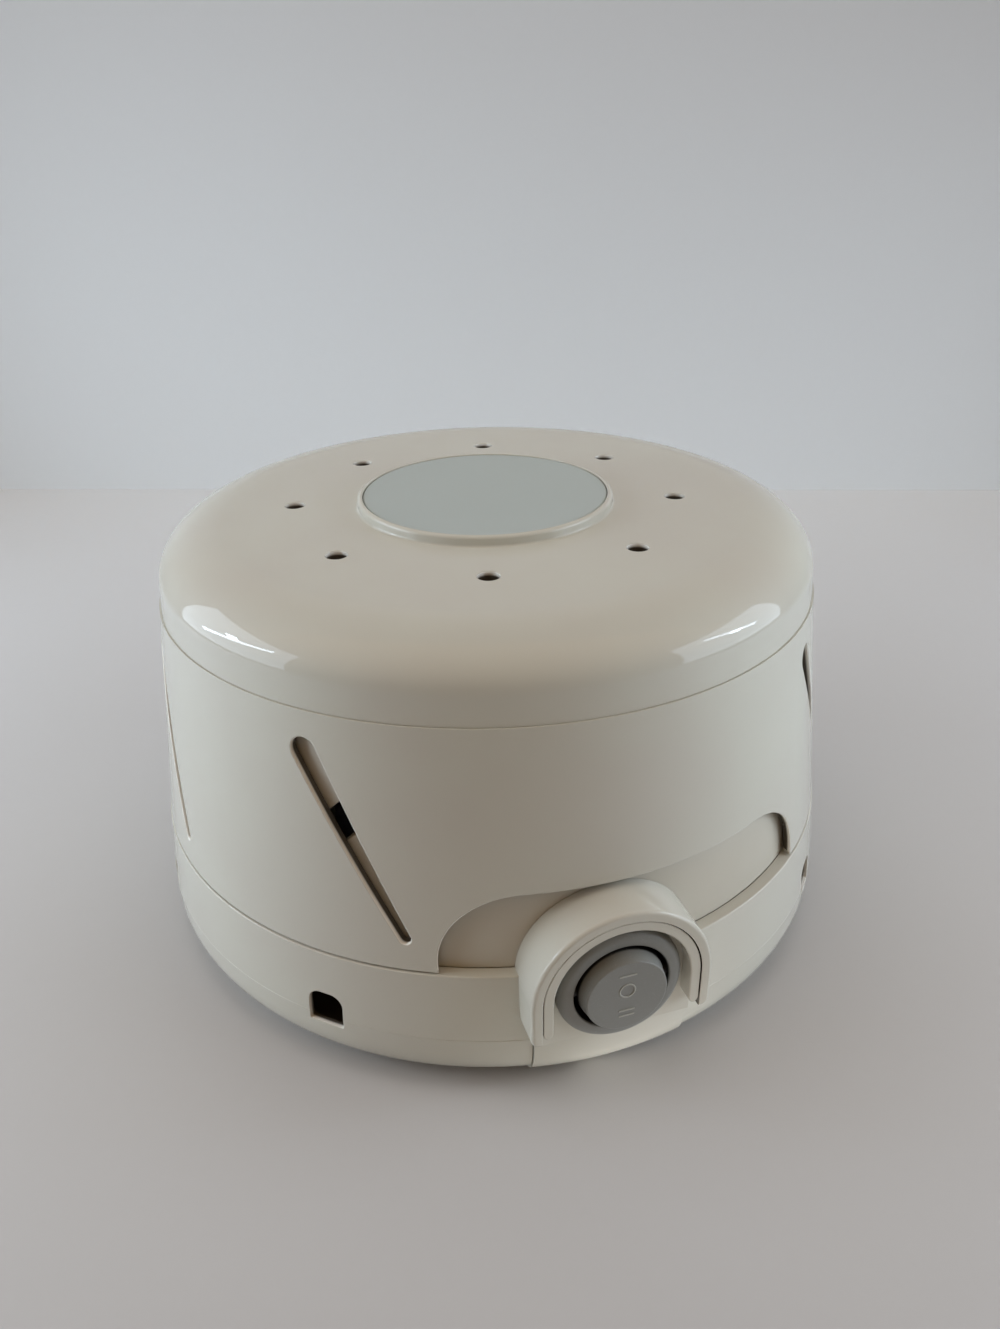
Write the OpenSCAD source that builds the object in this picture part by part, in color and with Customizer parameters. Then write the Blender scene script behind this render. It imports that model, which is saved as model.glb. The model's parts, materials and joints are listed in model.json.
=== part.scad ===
// White noise sound machine. A small motor spins a fan inside a slotted drum.
// An outer collar and a cap turn on the drum and open or close its slots and
// top holes, which tunes the sound. All heights are above the surface that the
// feet stand on, and azimuths are measured from the switch (-Y) towards +X.

/* [Base] */
// Largest radius of the base
base_r = 72.9; // [72.5:0.1:74]
// Height of the base's top rim
base_top_z = 27; // [26.5:0.1:27.3]
// Radius of the rounded lower edge
base_round_r = 8; // [7.5:0.1:8.5]
// Wall thickness of the base
base_wall = 2.4; // [2:0.1:2.6]
// Width of one side vent
vent_w = 7; // [5:0.5:9]
// Height of one side vent
vent_h = 7; // [6:0.5:8]
// Height of the vents' lower edge
vent_z = 11; // [10.5:0.5:12]

/* [Collar] */
// Outer radius at the collar's lower edge
collar_bottom_r = 71.5; // [71.3:0.1:71.8]
// Outer radius at the collar's upper edge
collar_top_r = 66.6; // [66.4:0.1:66.9]
// Height of the collar's upper edge
collar_top_z = 73.9; // [73.7:0.1:74]
// Wall thickness of the collar
collar_wall = 1.8; // [1.7:0.1:2]
// Number of places for slots round the collar, one of them left out
slot_places = 8; // [8:1:8]
// Azimuth of the slot left of the switch, at the slot's middle
slot_azimuth = -36.5; // [-38:0.5:-36]
// Radius of a slot's wide upper end
slot_top_r = 2.4; // [2:0.1:2.6]
// Radius of a slot's narrow lower end
slot_bottom_r = 1; // [0.8:0.05:1.4]
// Azimuth of the middle of the cut-out round the switch hood
cutout_azimuth = 7; // [6:0.5:8]
// Half the width of the cut-out
cutout_half_w = 37.2; // [36.8:0.1:37.6]
// Height of the cut-out's upper edge
cutout_top_z = 43; // [42.6:0.1:44]

/* [Cap] */
// Height of the cap's top near its rounded edge
cap_top_z = 87.8; // [87.6:0.1:88]
// Outer radius of the cap's skirt at its lower edge
cap_skirt_r = 66.3; // [66:0.1:66.5]
// Radius of one top hole
hole_r = 2; // [1.5:0.1:2.4]
// Radius of the circle that the top holes lie on
hole_circle_r = 38.8; // [37.5:0.1:40]
// Azimuth of the first top hole
hole_azimuth = -16.1; // [-17:0.1:-15]
// Outer radius of the raised ring
ring_r = 25.9; // [25.5:0.1:26.2]
// Radius of the disc inside the ring
disc_r = 24.7; // [24:0.1:24.8]

/* [Switch] */
// Height of the switch's centre
switch_z = 25.1; // [24.8:0.1:25.3]
// Outer radius of the switch hood's arch
hood_r = 16.8; // [16.6:0.1:17]
// Thickness of the hood's wall
hood_wall = 2; // [1.8:0.1:2.2]
// Distance of the hood's front rim from the turning axis
hood_front = 76.9; // [76.5:0.1:77.1]
// Radius of the hole that the rocker sits in
rocker_hole_r = 8.9; // [8.8:0.05:9]
// Radius of the rocker's flat face
rocker_face_r = 7.4; // [7:0.1:7.6]

/* [Motor] */
// Radius of the motor's shaft
shaft_r = 1.6; // [1.5:0.05:1.6]
// Radius of the rotor
rotor_r = 12; // [11.5:0.1:12]
// Thickness of the stack of laminations
stack_h = 16; // [15:0.5:16]

/* [Fan] */
// Radius of the fan wheel
fan_r = 46; // [40:1:48]
// Height of the fan's blades
blade_h = 14; // [10:1:15]
// Azimuths of the blades, unevenly spaced so that no single tone stands out
blade_azimuths = [0, 46, 103, 149, 207, 258, 305]; // [0:1:359]

/* [Feet] */
// Radius of one foot
foot_r = 6.5; // [5:0.5:8]
// Distance of the feet from the turning axis
foot_circle_r = 50; // [46:1:52]

/* [Hidden] */
$fn = 96;
// Small overlap that joins two solids of one piece
eps = 0.01;
// Distance past every outside face, where cuts end
far = 90;

// Colours
shell_colour = [0.88, 0.86, 0.80];
drum_colour = [0.84, 0.82, 0.76];
disc_colour = [0.70, 0.74, 0.73];
switch_colour = [0.50, 0.51, 0.50];
steel_colour = [0.66, 0.67, 0.69];
rubber_colour = [0.12, 0.12, 0.13];
copper_colour = [0.72, 0.42, 0.22];
bronze_colour = [0.62, 0.47, 0.25];

// Base profile
underside_z = 1.5;
round_centre = [base_r - base_round_r, underside_z + base_round_r];
base_straight_z = 13;
base_top_r = base_r - 1.2;
plate_thick = 2.4;
plate_r = 63.5;
plate_seat_r = plate_r + 0.3;
hood_opening_r = plate_seat_r + 1.4;
panel_foot_r = plate_seat_r + 1.6;
lip_r = 58;
lip_bottom_z = underside_z + plate_thick;
lip_top_z = lip_bottom_z + 2;
inner_round_r = base_round_r - base_wall - 0.2;
base_inner_r = round_centre[0] + inner_round_r;
rim_inner_r = base_top_r - base_wall;

// Vents stand at 45 degree steps; the switch and the cord gland take two places
vent_azimuths = [-132, -87, -42, 48, 93, 138];
vent_corner_r = 2.5;
vent_wall = 1.3;
vent_margin = 1.5;

// Collar and the drum inside it share one taper
collar_bottom_z = base_top_z + 0.35;
collar_edge_r = 0.4;
collar_slope = (collar_bottom_r - collar_top_r) / (collar_top_z - collar_bottom_z);
collar_lip_thick = 1.9;
collar_lip_r = 62.9;
cutout_corner_r = 14;
slot_numbers = [2 : slot_places];
slot_pitch = 360 / slot_places;
slot_top = [-8.65, 66.5];
slot_bottom = [9, 33.7];

// Drum
drum_gap = 0.4;
drum_wall = 2;
spigot_bottom_z = 19;
spigot_r = 69;
drum_seat_gap = 0.1;
shoulder_z = 71.6;
neck_r = 62.4;
edge_centre = [52.3, 78.8];
deck_top_z = 85.2;
deck_thick = 2;
deck_boss_r = 10;
deck_boss_z = 79.2;
window_azimuth = -39.35;
window_z = 52.8;
window_r = 3;
window_half = 11.3;
drum_notch_r = 12;
drum_notch_z = 18;

// Cap
cap_bottom_z = 74.05;
cap_side_r = 65.9;
cap_wall = 2;
cap_under_z = 85.7;
disc_gap = 0.15;
disc_edge = 0.3;
ring_top_z = 90.1;
ring_edge_r = 0.7;
crown = 0.2;
disc_seat_z = 88.3;
disc_top_z = 89.9;
pivot_r = 6;
pivot_gap = 0.05;
air_slot_half = 5;
air_slot_w = 5;
stop_r = [26.6, 29.6];
stop_half_w = 1.8;
stop_gap = 0.6;
stop_slot_half = 27;
washer_z = [78, 79];
washer_r = 9;

// Switch
panel_gap = 0.2;
panel_r = hood_r - hood_wall - panel_gap;
panel_ring_r = 12.7;
ring_foot_round = 1.5;
panel_front = 76.7;
panel_face = 73.4;
panel_back = 71;
apron_proud = 0.4;
hood_leg_z = 17.6;
hood_root = 60;
barrel_r = 10;
barrel_gap = 0.1;
barrel_back = 55.4;
flange_r = 11.6;
flange_front = 76;
rocker_ball_r = rocker_hole_r - 0.8;
rocker_pivot = 73.8;
rocker_face = 78.18;
pocket_back = 64;
trunnion_r = 1.2;
trunnion_half = 9.7;
trunnion_gap = 0.05;
catch_size = [1.4, 2.8, 6];
terminal_xs = [-5.5, 0, 5.5];
terminal_half = [0.4, 2.4];
terminal_len = 9;
sleeve_half = [1.5, 3.2];
sleeve_len = 7;
sleeve_back = 45.4;

// Cord gland at the back
gland_z = 12;
gland_bore_r = 3.2;
gland_hole_r = 5;
gland_flange_r = 5.9;
gland_front = 67.6;
gland_inner_flange = 68.9;
gland_back = 73.9;

// The turning axis stands where the front and back reach equally far from the origin
axis_y = (rocker_face - gland_back) / 2;

// Screws
thread_r = 1.45;
pilot_r = 1.5;
clear_r = 1.7;
bottom_screw_r = 61;
bottom_screw_azimuths = [-155, -25, 25, 155];
bottom_seat_z = 2.7;
bottom_seat_r = 3.1;
bottom_boss_r = 3.6;
bottom_boss_z = 16;
drum_screw_r = 60.4;
drum_screw_azimuths = [-118, -62, 62, 118];
drum_seat_z = 15;
drum_seat_r = 3.2;
drum_boss_r = 4.6;
drum_post_r = 4.8;
drum_post_h = 11;
foot_h = 2.7;
foot_azimuths = [45 : 90 : 315];

// Motor
post_points = [[-28, -14], [28, -14], [-28, 26], [28, 26]];
post_r = 5;
post_top_z = 8;
cradle_z = [post_top_z + 1.9, post_top_z + 3.1];
cradle_size = [72, 56];
cradle_middle_y = 6;
isolator_top_z = 13;
isolator_r = 5.5;
isolator_neck_r = 3.6;
stack_z = 24;
stack_top_z = stack_z + stack_h;
stack_half_w = 24;
stack_y = [-20, 38];
leg_y = [29, 38];
coil_half = 14;
bobbin_wall = 1;
bobbin_cheek = 1.5;
winding_h = 8;
winding_corner_r = 5;
tape_half = 10;
air_gap = 0.3;
bearing_r = 4.5;
bearing_boss_r = 6.5;
bore_r = shaft_r + 0.05;
lower_bearing_z = [12.6, 19];
upper_bearing_z = [44.8, 50.5];
bracket_wall = 1.3;
bracket_bar_h = 2.5;
bracket_depth = 14;
bracket_leg_w = 9;
bracket_top_z = 46;
bolt_x = 19.5;
bolt_r = 1.75;
bolt_hole_r = 1.85;
bar_xs = [14.6, 23];
bar_y = 9.5;
bar_half = 0.8;
ring_h = 1.4;
thrust_r = 3.5;
fan_bottom_z = 52;
hub_r = 6.5;
shaft_z = [13, 68];

// Terminal block and the four leads' routes
block_low = [-51, -4, lip_bottom_z];
block_high = [-40, 16, 14];
clamp_points = [[-48.5, 1], [-42.5, 1], [-48.5, 11], [-42.5, 11]];
clamp_z = 9;
clamp_r = 2.1;
supply_route = [[-48.5, block_low[1], 8], [-48.5, -9, 8], [-46, -20, 9], [-38, -31, 12],
    [-24, -38, 18], [-12, -39, 23], [-6, -38.5, 25], [-5.5, -42, switch_z],
    [-5.5, -sleeve_back, switch_z]];
return_route = [[-42.5, block_low[1], 8], [-42.5, -8, 8], [-40.5, -12, 13], [-38.5, -5, 21],
    [-36.5, 12, 29], [-32, 26, 37], [-26, 34.5, 44], [-19, 36, 46], [-15.5, 36, 46]];
fast_route = [[5.5, -sleeve_back, switch_z], [5.5, -42, switch_z], [8, -37.5, 25], [14, -36, 24],
    [24, -30, 24], [31, -18, 28], [33, 0, 34], [32, 18, 40], [26, 33, 45], [19, 36, 46],
    [15.5, 36, 46]];
slow_route = [[0, -sleeve_back, switch_z], [0, -42, switch_z], [3, -37, 21], [11, -33.5, 18.5],
    [26, -27, 18], [35, -14, 22], [37, 0, 27], [36, 18, 33], [31, 34, 37.5], [23, 41.5, 38],
    [18, 42, 38], [15.5, 42, 38]];

// ---- helpers ----

module at_axis() {
    translate([0, axis_y, 0]) children();
}

module at_azimuth(a) {
    rotate([0, 0, a]) children();
}

// A flat outline (x to the right, y up) pushed outwards from radius r0 to r1
module through_wall(r0, r1) {
    translate([0, -r0, 0]) rotate([90, 0, 0]) linear_extrude(r1 - r0) children();
}

module tube(z0, z1, r_out, r_in) {
    difference() {
        translate([0, 0, z0]) cylinder(h = z1 - z0, r = r_out);
        translate([0, 0, z0 - 1]) cylinder(h = z1 - z0 + 2, r = r_in);
    }
}

module block(low, high) {
    translate(low) cube(high - low);
}

function arc(centre, rx, ry, from, to, steps = 10) =
    [for (i = [0 : steps])
        let (a = from + (to - from) * i / steps)
        [centre[0] + rx * cos(a), centre[1] + ry * sin(a)]];

function collar_r(z) = collar_bottom_r - (z - collar_bottom_z) * collar_slope;
function drum_r(z) = collar_r(z) - collar_wall - drum_gap;

// Rounded rectangle, centred
module soft_square(size, r) {
    square([size[0], size[1] - 2 * r], center = true);
    square([size[0] - 2 * r, size[1]], center = true);
    for (x = [-1, 1], y = [-1, 1])
        translate([x * (size[0] / 2 - r), y * (size[1] / 2 - r)]) circle(r = r);
}

// Tapered slot between two round ends
module teardrop(p0, r0, p1, r1) {
    d = p1 - p0;
    turn = atan2(d[1], d[0]);
    lean = acos((r0 - r1) / norm(d));
    polygon(concat(arc(p0, r0, r0, turn + lean, turn + 360 - lean, 8),
        arc(p1, r1, r1, turn - lean, turn + lean, 8)));
}

// Arch outline: half a disc on two straight sides that go down to bottom_z
module arch(r, bottom_z) {
    translate([0, switch_z]) circle(r = r);
    translate([-r, bottom_z]) square([2 * r, switch_z - bottom_z]);
}

// A profile (radius from the arch's centre, distance from the turning axis)
// swept over the arch and down both of its sides
module arch_sweep(leg) {
    translate([0, 0, switch_z]) {
        rotate([90, 0, 0]) rotate_extrude(angle = 180) children();
        rotate([180, 0, 0]) linear_extrude(leg) children();
        mirror([1, 0, 0]) rotate([180, 0, 0]) linear_extrude(leg) children();
    }
}

// Pan-head screw, head down, thread pointing up from z = 0
module screw(head_r, head_h, length, r = thread_r) {
    cross_len = head_r * 0.6;
    cross_half = 0.4;
    difference() {
        translate([0, 0, -head_h]) cylinder(h = head_h, r = head_r);
        for (a = [0, 90])
            rotate([0, 0, a]) block([-cross_len, -cross_half, -head_h - 1],
                [cross_len, cross_half, -head_h * 0.4]);
    }
    cylinder(h = length, r = r);
}

// Round wire through a list of points, as one closed tube
function mix_points(a, b, c, d, t) =
    0.5 * ((2 * b) + (c - a) * t + (2 * a - 5 * b + 4 * c - d) * t * t
        + (3 * b - a - 3 * c + d) * t * t * t);

function smooth_route(p, steps) =
    let (n = len(p))
    concat([for (i = [0 : n - 2], k = [0 : steps - 1])
        mix_points(p[max(i - 1, 0)], p[i], p[i + 1], p[min(i + 2, n - 1)], k / steps)],
        [p[n - 1]]);

module wire(points, r = 0.9, sides = 8, steps = 3) {
    path = smooth_route(points, steps);
    n = len(path);
    rings = [for (i = [0 : n - 1])
        let (t = i == 0 ? points[1] - points[0]
                : i == n - 1 ? points[len(points) - 1] - points[len(points) - 2]
                : path[i + 1] - path[i - 1],
            u = cross(t, [0.2, 0.1, 1]) / norm(cross(t, [0.2, 0.1, 1])),
            v = cross(u, t) / norm(cross(u, t)))
        for (k = [0 : sides - 1])
            path[i] + r * (cos(360 * k / sides) * u + sin(360 * k / sides) * v)];
    walls = [for (i = [0 : n - 2], k = [0 : sides - 1])
        [i * sides + k, (i + 1) * sides + k,
            (i + 1) * sides + (k + 1) % sides, i * sides + (k + 1) % sides]];
    ends = [[for (k = [0 : sides - 1]) k],
        [for (k = [0 : sides - 1]) n * sides - 1 - k]];
    polyhedron(points = rings, faces = concat(walls, ends), convexity = 4);
}

// ---- base ----

module base_walls() {
    rotate_extrude() polygon(concat(
        [[plate_seat_r, underside_z]],
        arc(round_centre, base_round_r, base_round_r, -90, 0),
        [[base_r, base_straight_z], [base_top_r, base_top_z], [rim_inner_r, base_top_z],
            [base_inner_r, base_straight_z]],
        arc(round_centre, inner_round_r, inner_round_r, 0,
            asin((lip_top_z - round_centre[1]) / inner_round_r)),
        [[lip_r, lip_top_z], [lip_r, lip_bottom_z], [plate_seat_r, lip_bottom_z]]));
}

// Space inside the base's wall and inside the drum's outer face
module behind_hood() {
    rotate_extrude() polygon([[0, 0], [base_inner_r, 0], [base_inner_r, base_straight_z],
        [rim_inner_r, base_top_z], [drum_r(base_top_z) + 0.1, base_top_z],
        [drum_r(shoulder_z) + 0.1, shoulder_z], [0, shoulder_z]]);
}

module switch_hood() {
    edge = 0.7;
    difference() {
        union() {
            arch_sweep(switch_z - hood_leg_z) polygon(concat(
                [[hood_r - hood_wall, hood_root], [hood_r, hood_root]],
                arc([hood_r - edge, hood_front - edge], edge, edge, 0, 90, 6),
                [[hood_r - hood_wall, hood_front]]));
            for (side = [-1, 1])
                through_wall(hood_root, hood_front)
                    translate([side * (hood_r - hood_wall / 2), hood_leg_z]) circle(r = hood_wall / 2);
        }
        behind_hood();
    }
}

module vent_outline() {
    top = vent_z + vent_h - vent_corner_r;
    translate([-vent_w / 2, vent_z]) square([vent_w, vent_h - vent_corner_r]);
    for (side = [-1, 1])
        translate([side * (vent_w / 2 - vent_corner_r), top]) circle(r = vent_corner_r);
    translate([vent_corner_r - vent_w / 2, top - 1]) square([vent_w - 2 * vent_corner_r, vent_corner_r + 1]);
}

module base_shell() {
    color(shell_colour) at_axis() difference() {
        union() {
            base_walls();
            switch_hood();
            for (a = bottom_screw_azimuths)
                at_azimuth(a) translate([0, -bottom_screw_r, lip_top_z - eps])
                    cylinder(h = bottom_boss_z - lip_top_z, r = bottom_boss_r);
            for (a = drum_screw_azimuths)
                at_azimuth(a) translate([0, -drum_screw_r, lip_top_z - eps])
                    cylinder(h = spigot_bottom_z - lip_top_z + eps, r = drum_boss_r);
        }
        through_wall(hood_opening_r, far) arch(hood_r - hood_wall, 0);
        for (a = vent_azimuths)
            at_azimuth(a) {
                through_wall(lip_r, far) vent_outline();
                through_wall(base_inner_r - 1, base_r - vent_wall) offset(delta = vent_margin) vent_outline();
            }
        translate([0, lip_r, gland_z]) rotate([-90, 0, 0]) cylinder(h = far - lip_r, r = gland_hole_r);
        for (a = bottom_screw_azimuths)
            at_azimuth(a) translate([0, -bottom_screw_r, 0]) cylinder(h = bottom_boss_z - 2, r = pilot_r);
        for (a = drum_screw_azimuths)
            at_azimuth(a) translate([0, -drum_screw_r, underside_z]) {
                cylinder(h = drum_seat_z - underside_z, r = drum_seat_r);
                cylinder(h = spigot_bottom_z, r = clear_r);
            }
    }
}

module bottom_plate() {
    color(shell_colour) at_axis() difference() {
        union() {
            translate([0, 0, underside_z]) cylinder(h = plate_thick, r = plate_r);
            for (p = post_points)
                translate([p[0], p[1], underside_z]) cylinder(h = post_top_z - underside_z, r = post_r);
        }
        for (p = post_points)
            translate([p[0], p[1], underside_z + foot_h]) cylinder(h = post_top_z, r = pilot_r);
        for (a = bottom_screw_azimuths)
            at_azimuth(a) translate([0, -bottom_screw_r, 0]) {
                cylinder(h = bottom_seat_z, r = bottom_seat_r);
                cylinder(h = post_top_z, r = clear_r);
            }
        for (a = foot_azimuths)
            at_azimuth(a) translate([0, -foot_circle_r, 0]) cylinder(h = foot_h, r = foot_r + 0.1);
    }
}

module rubber_feet() {
    edge = 0.5;
    color(rubber_colour) at_axis() for (a = foot_azimuths)
        at_azimuth(a) translate([0, -foot_circle_r, 0]) {
            cylinder(h = edge, r1 = foot_r - edge, r2 = foot_r);
            translate([0, 0, edge]) cylinder(h = foot_h - edge, r = foot_r);
        }
}

module bottom_screws() {
    color(steel_colour) at_axis() for (a = bottom_screw_azimuths)
        at_azimuth(a) translate([0, -bottom_screw_r, bottom_seat_z]) screw(2.8, 1.1, 10);
}

module drum_screws() {
    color(steel_colour) at_axis() for (a = drum_screw_azimuths)
        at_azimuth(a) translate([0, -drum_screw_r, drum_seat_z]) screw(2.9, 2.2, 12);
}

module cord_gland() {
    color(shell_colour) at_axis() translate([0, 0, gland_z]) rotate([-90, 0, 0]) difference() {
        union() {
            translate([0, 0, gland_front]) cylinder(h = gland_back - gland_front, r = gland_hole_r - 0.05);
            translate([0, 0, gland_front])
                cylinder(h = gland_inner_flange - gland_front, r = gland_flange_r);
            translate([0, 0, base_r]) cylinder(h = gland_back - base_r, r = gland_flange_r);
        }
        cylinder(h = far, r = gland_bore_r);
    }
}

// ---- switch ----

module switch_panel() {
    round_r = base_round_r + apron_proud;
    inner_r = panel_back - round_centre[0];
    apron_top_z = base_straight_z + 1;
    color(shell_colour) at_axis() difference() {
        union() {
            arch_sweep(switch_z - hood_leg_z) polygon([[panel_ring_r, panel_back], [panel_r, panel_back],
                [panel_r, panel_front - 0.3], [panel_r - 0.3, panel_front],
                [panel_ring_r + 0.6, panel_front - 0.1], [panel_ring_r, panel_front - 0.7]]);
            through_wall(panel_back, panel_face) arch(panel_r, base_straight_z);
            intersection() {
                rotate_extrude() polygon(concat(
                    arc(round_centre, round_r, round_r, -90, 0),
                    [[base_r + apron_proud, apron_top_z], [panel_back, apron_top_z],
                        [panel_back, round_centre[1]]],
                    arc(round_centre, inner_r, inner_r, 0, -90)));
                block([-panel_r, -far, underside_z], [panel_r, -panel_foot_r, apron_top_z]);
            }
        }
        translate([0, 0, switch_z]) rotate([90, 0, 0]) cylinder(h = far, r = barrel_r + barrel_gap);
        for (side = [-1, 1]) through_wall(panel_face, far) scale([side, 1]) difference() {
            translate([panel_ring_r - 0.1, hood_leg_z - 0.1])
                square([ring_foot_round + 0.1, ring_foot_round + 0.1]);
            translate([panel_ring_r + ring_foot_round, hood_leg_z + ring_foot_round])
                circle(r = ring_foot_round);
        }
    }
}

module switch_housing() {
    edge = flange_front - panel_face - 0.9;
    catch_x = barrel_r + 0.2;
    catch_y = panel_back - 2.6;
    color(switch_colour) at_axis() translate([0, 0, switch_z]) difference() {
        union() {
            rotate([90, 0, 0]) rotate_extrude() polygon(concat(
                [[0, barrel_back], [barrel_r, barrel_back], [barrel_r, panel_face], [flange_r, panel_face]],
                arc([flange_r - edge, flange_front - edge], edge, edge, 0, 90, 6),
                [[rocker_hole_r, flange_front], [rocker_hole_r, pocket_back], [0, pocket_back]]));
            for (side = [-1, 1])
                translate([side * catch_x, -catch_y, 0]) cube(catch_size, center = true);
        }
        translate([0, -rocker_pivot, 0]) rotate([0, 90, 0])
            cylinder(h = 2 * trunnion_half + 0.2, r = trunnion_r + trunnion_gap, center = true);
    }
}

module rocker() {
    back_angle = 40;
    side_angle = 15;
    color(switch_colour) at_axis() translate([0, -rocker_pivot, switch_z]) {
        rotate([90, 0, 0]) rotate_extrude() polygon(concat(
            [[0, -rocker_ball_r * sin(back_angle)]],
            arc([0, 0], rocker_ball_r, rocker_ball_r, -back_angle, side_angle, 16),
            [[rocker_face_r, rocker_face - rocker_pivot], [0, rocker_face - rocker_pivot]]));
        rotate([0, 90, 0]) cylinder(h = 2 * trunnion_half, r = trunnion_r, center = true);
    }
}

// Upright blade of one terminal at x, from y to the blade's root in the housing
module terminal_blade(x, y) {
    block([x - terminal_half[0], y, switch_z - terminal_half[1]],
        [x + terminal_half[0], terminal_len - barrel_back, switch_z + terminal_half[1]]);
}

module switch_terminals() {
    color(bronze_colour) at_axis() for (x = terminal_xs)
        terminal_blade(x, -barrel_back);
}

module crimp_sleeves() {
    sleeve_front = sleeve_back + sleeve_len;
    color([0.75, 0.2, 0.2]) at_axis() for (x = terminal_xs)
        difference() {
            block([x - sleeve_half[0], -sleeve_front, switch_z - sleeve_half[1]],
                [x + sleeve_half[0], -sleeve_back, switch_z + sleeve_half[1]]);
            terminal_blade(x, -sleeve_front - 1);
        }
}

// ---- drum ----

module window_outline() {
    teardrop([-window_half, window_z - window_half], window_r,
        [window_half, window_z + window_half], window_r - 0.1);
}

module sound_housing() {
    inner_r = neck_r - drum_wall;
    seat_z = base_top_z + drum_seat_gap;
    under_z = deck_top_z - deck_thick;
    under_shoulder_z = shoulder_z - drum_wall;
    color(drum_colour) at_axis() difference() {
        union() {
            rotate_extrude() polygon(concat(
                [[spigot_r - drum_wall, spigot_bottom_z], [spigot_r, spigot_bottom_z],
                    [spigot_r, seat_z], [drum_r(seat_z), seat_z], [drum_r(shoulder_z), shoulder_z],
                    [neck_r, shoulder_z]],
                arc(edge_centre, neck_r - edge_centre[0], deck_top_z - edge_centre[1], 0, 90),
                [[0, deck_top_z], [0, under_z]],
                arc(edge_centre, inner_r - edge_centre[0], under_z - edge_centre[1], 90, 0),
                [[inner_r, under_shoulder_z], [drum_r(under_shoulder_z) - drum_wall, under_shoulder_z],
                    [spigot_r - drum_wall, base_top_z]]));
            translate([0, 0, deck_boss_z]) cylinder(h = deck_top_z - deck_boss_z, r = deck_boss_r);
            for (a = drum_screw_azimuths)
                at_azimuth(a) {
                    translate([0, -drum_screw_r, spigot_bottom_z]) cylinder(h = drum_post_h, r = drum_post_r);
                    block([-3, 1 - spigot_r, spigot_bottom_z],
                        [3, -drum_screw_r, spigot_bottom_z + drum_post_h]);
                }
        }
        cylinder(h = far, r = pivot_r + pivot_gap);
        for (k = slot_numbers)
            at_azimuth(window_azimuth + slot_pitch * k) through_wall(drum_screw_r - drum_post_r, far)
                window_outline();
        through_wall(pocket_back - 9, far) arch(drum_notch_r, drum_notch_z);
        for (k = [0 : 7])
            at_azimuth(hole_azimuth + 45 * k)
                deck_slot(hole_circle_r - air_slot_w / 2, hole_circle_r + air_slot_w / 2, air_slot_half);
        at_azimuth(90) deck_slot(stop_r[0] - stop_gap, stop_r[1] + stop_gap, stop_slot_half);
        for (a = drum_screw_azimuths)
            at_azimuth(a) translate([0, -drum_screw_r, 0])
                cylinder(h = spigot_bottom_z + drum_post_h - 2, r = pilot_r);
    }
}

// Curved slot through the drum's deck, from radius r0 to r1, centred on the azimuth it is turned to
module deck_slot(r0, r1, half_angle) {
    translate([0, 0, deck_boss_z]) at_azimuth(-90 - half_angle) rotate_extrude(angle = 2 * half_angle)
        translate([r0, 0]) square([r1 - r0, far - deck_boss_z]);
}

// ---- collar ----

module cutout_outline() {
    corner_x = cutout_half_w - cutout_corner_r;
    corner_z = cutout_top_z - cutout_corner_r;
    translate([-cutout_half_w, 0]) square([2 * cutout_half_w, corner_z]);
    translate([-corner_x, 0]) square([2 * corner_x, cutout_top_z]);
    for (side = [-1, 1])
        translate([side * corner_x, corner_z]) circle(r = cutout_corner_r);
}

module tone_collar() {
    lip_z = collar_top_z - collar_lip_thick;
    color(shell_colour) at_axis() difference() {
        rotate_extrude() polygon(concat(
            [[collar_r(collar_bottom_z) - collar_wall, collar_bottom_z], [collar_bottom_r, collar_bottom_z]],
            arc([collar_top_r - collar_edge_r, collar_top_z - collar_edge_r],
                collar_edge_r + 0.05, collar_edge_r, 0, 90, 6),
            [[collar_lip_r, collar_top_z], [collar_lip_r, lip_z], [collar_r(lip_z) - collar_wall, lip_z]]));
        at_azimuth(cutout_azimuth) through_wall(cutout_half_w, far) cutout_outline();
        for (k = slot_numbers)
            at_azimuth(slot_azimuth + slot_pitch * k) through_wall(lip_r, far)
                teardrop(slot_top, slot_top_r, slot_bottom, slot_bottom_r);
    }
}

// ---- cap ----

module tone_cap() {
    rx = cap_side_r - edge_centre[0];
    ry = cap_top_z - edge_centre[1];
    color(shell_colour) at_axis() difference() {
        union() {
            rotate_extrude() polygon(concat(
                [[cap_skirt_r - cap_wall - 0.3, cap_bottom_z], [cap_skirt_r, cap_bottom_z]],
                arc(edge_centre, rx, ry, 0, 90, 14),
                [[ring_r, cap_top_z + crown]],
                arc([ring_r - ring_edge_r, ring_top_z - ring_edge_r], ring_edge_r, ring_edge_r, 0, 90, 5),
                [[disc_r + disc_gap, ring_top_z], [disc_r + disc_gap, disc_seat_z], [0, disc_seat_z],
                    [0, cap_under_z]],
                arc(edge_centre, rx - cap_wall, cap_under_z - edge_centre[1], 90, 0, 14)));
            translate([0, 0, washer_z[1]]) cylinder(h = cap_under_z - washer_z[1] + eps, r = pivot_r);
            block([stop_r[0], -stop_half_w, deck_top_z - 1.4], [stop_r[1], stop_half_w, cap_under_z + eps]);
        }
        for (k = [0 : 7])
            at_azimuth(hole_azimuth + 45 * k) translate([0, -hole_circle_r, edge_centre[1]])
                cylinder(h = far, r = hole_r);
        cylinder(h = cap_under_z + eps, r = pilot_r);
    }
}

module cap_disc() {
    straight_h = disc_top_z - disc_seat_z - disc_edge;
    color(disc_colour) at_axis() translate([0, 0, disc_seat_z]) {
        cylinder(h = straight_h, r = disc_r);
        translate([0, 0, straight_h]) cylinder(h = disc_edge, r1 = disc_r, r2 = disc_r - disc_edge);
    }
}

module cap_washer() {
    color(steel_colour) at_axis() tube(washer_z[0], washer_z[1], washer_r, clear_r);
}

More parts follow.
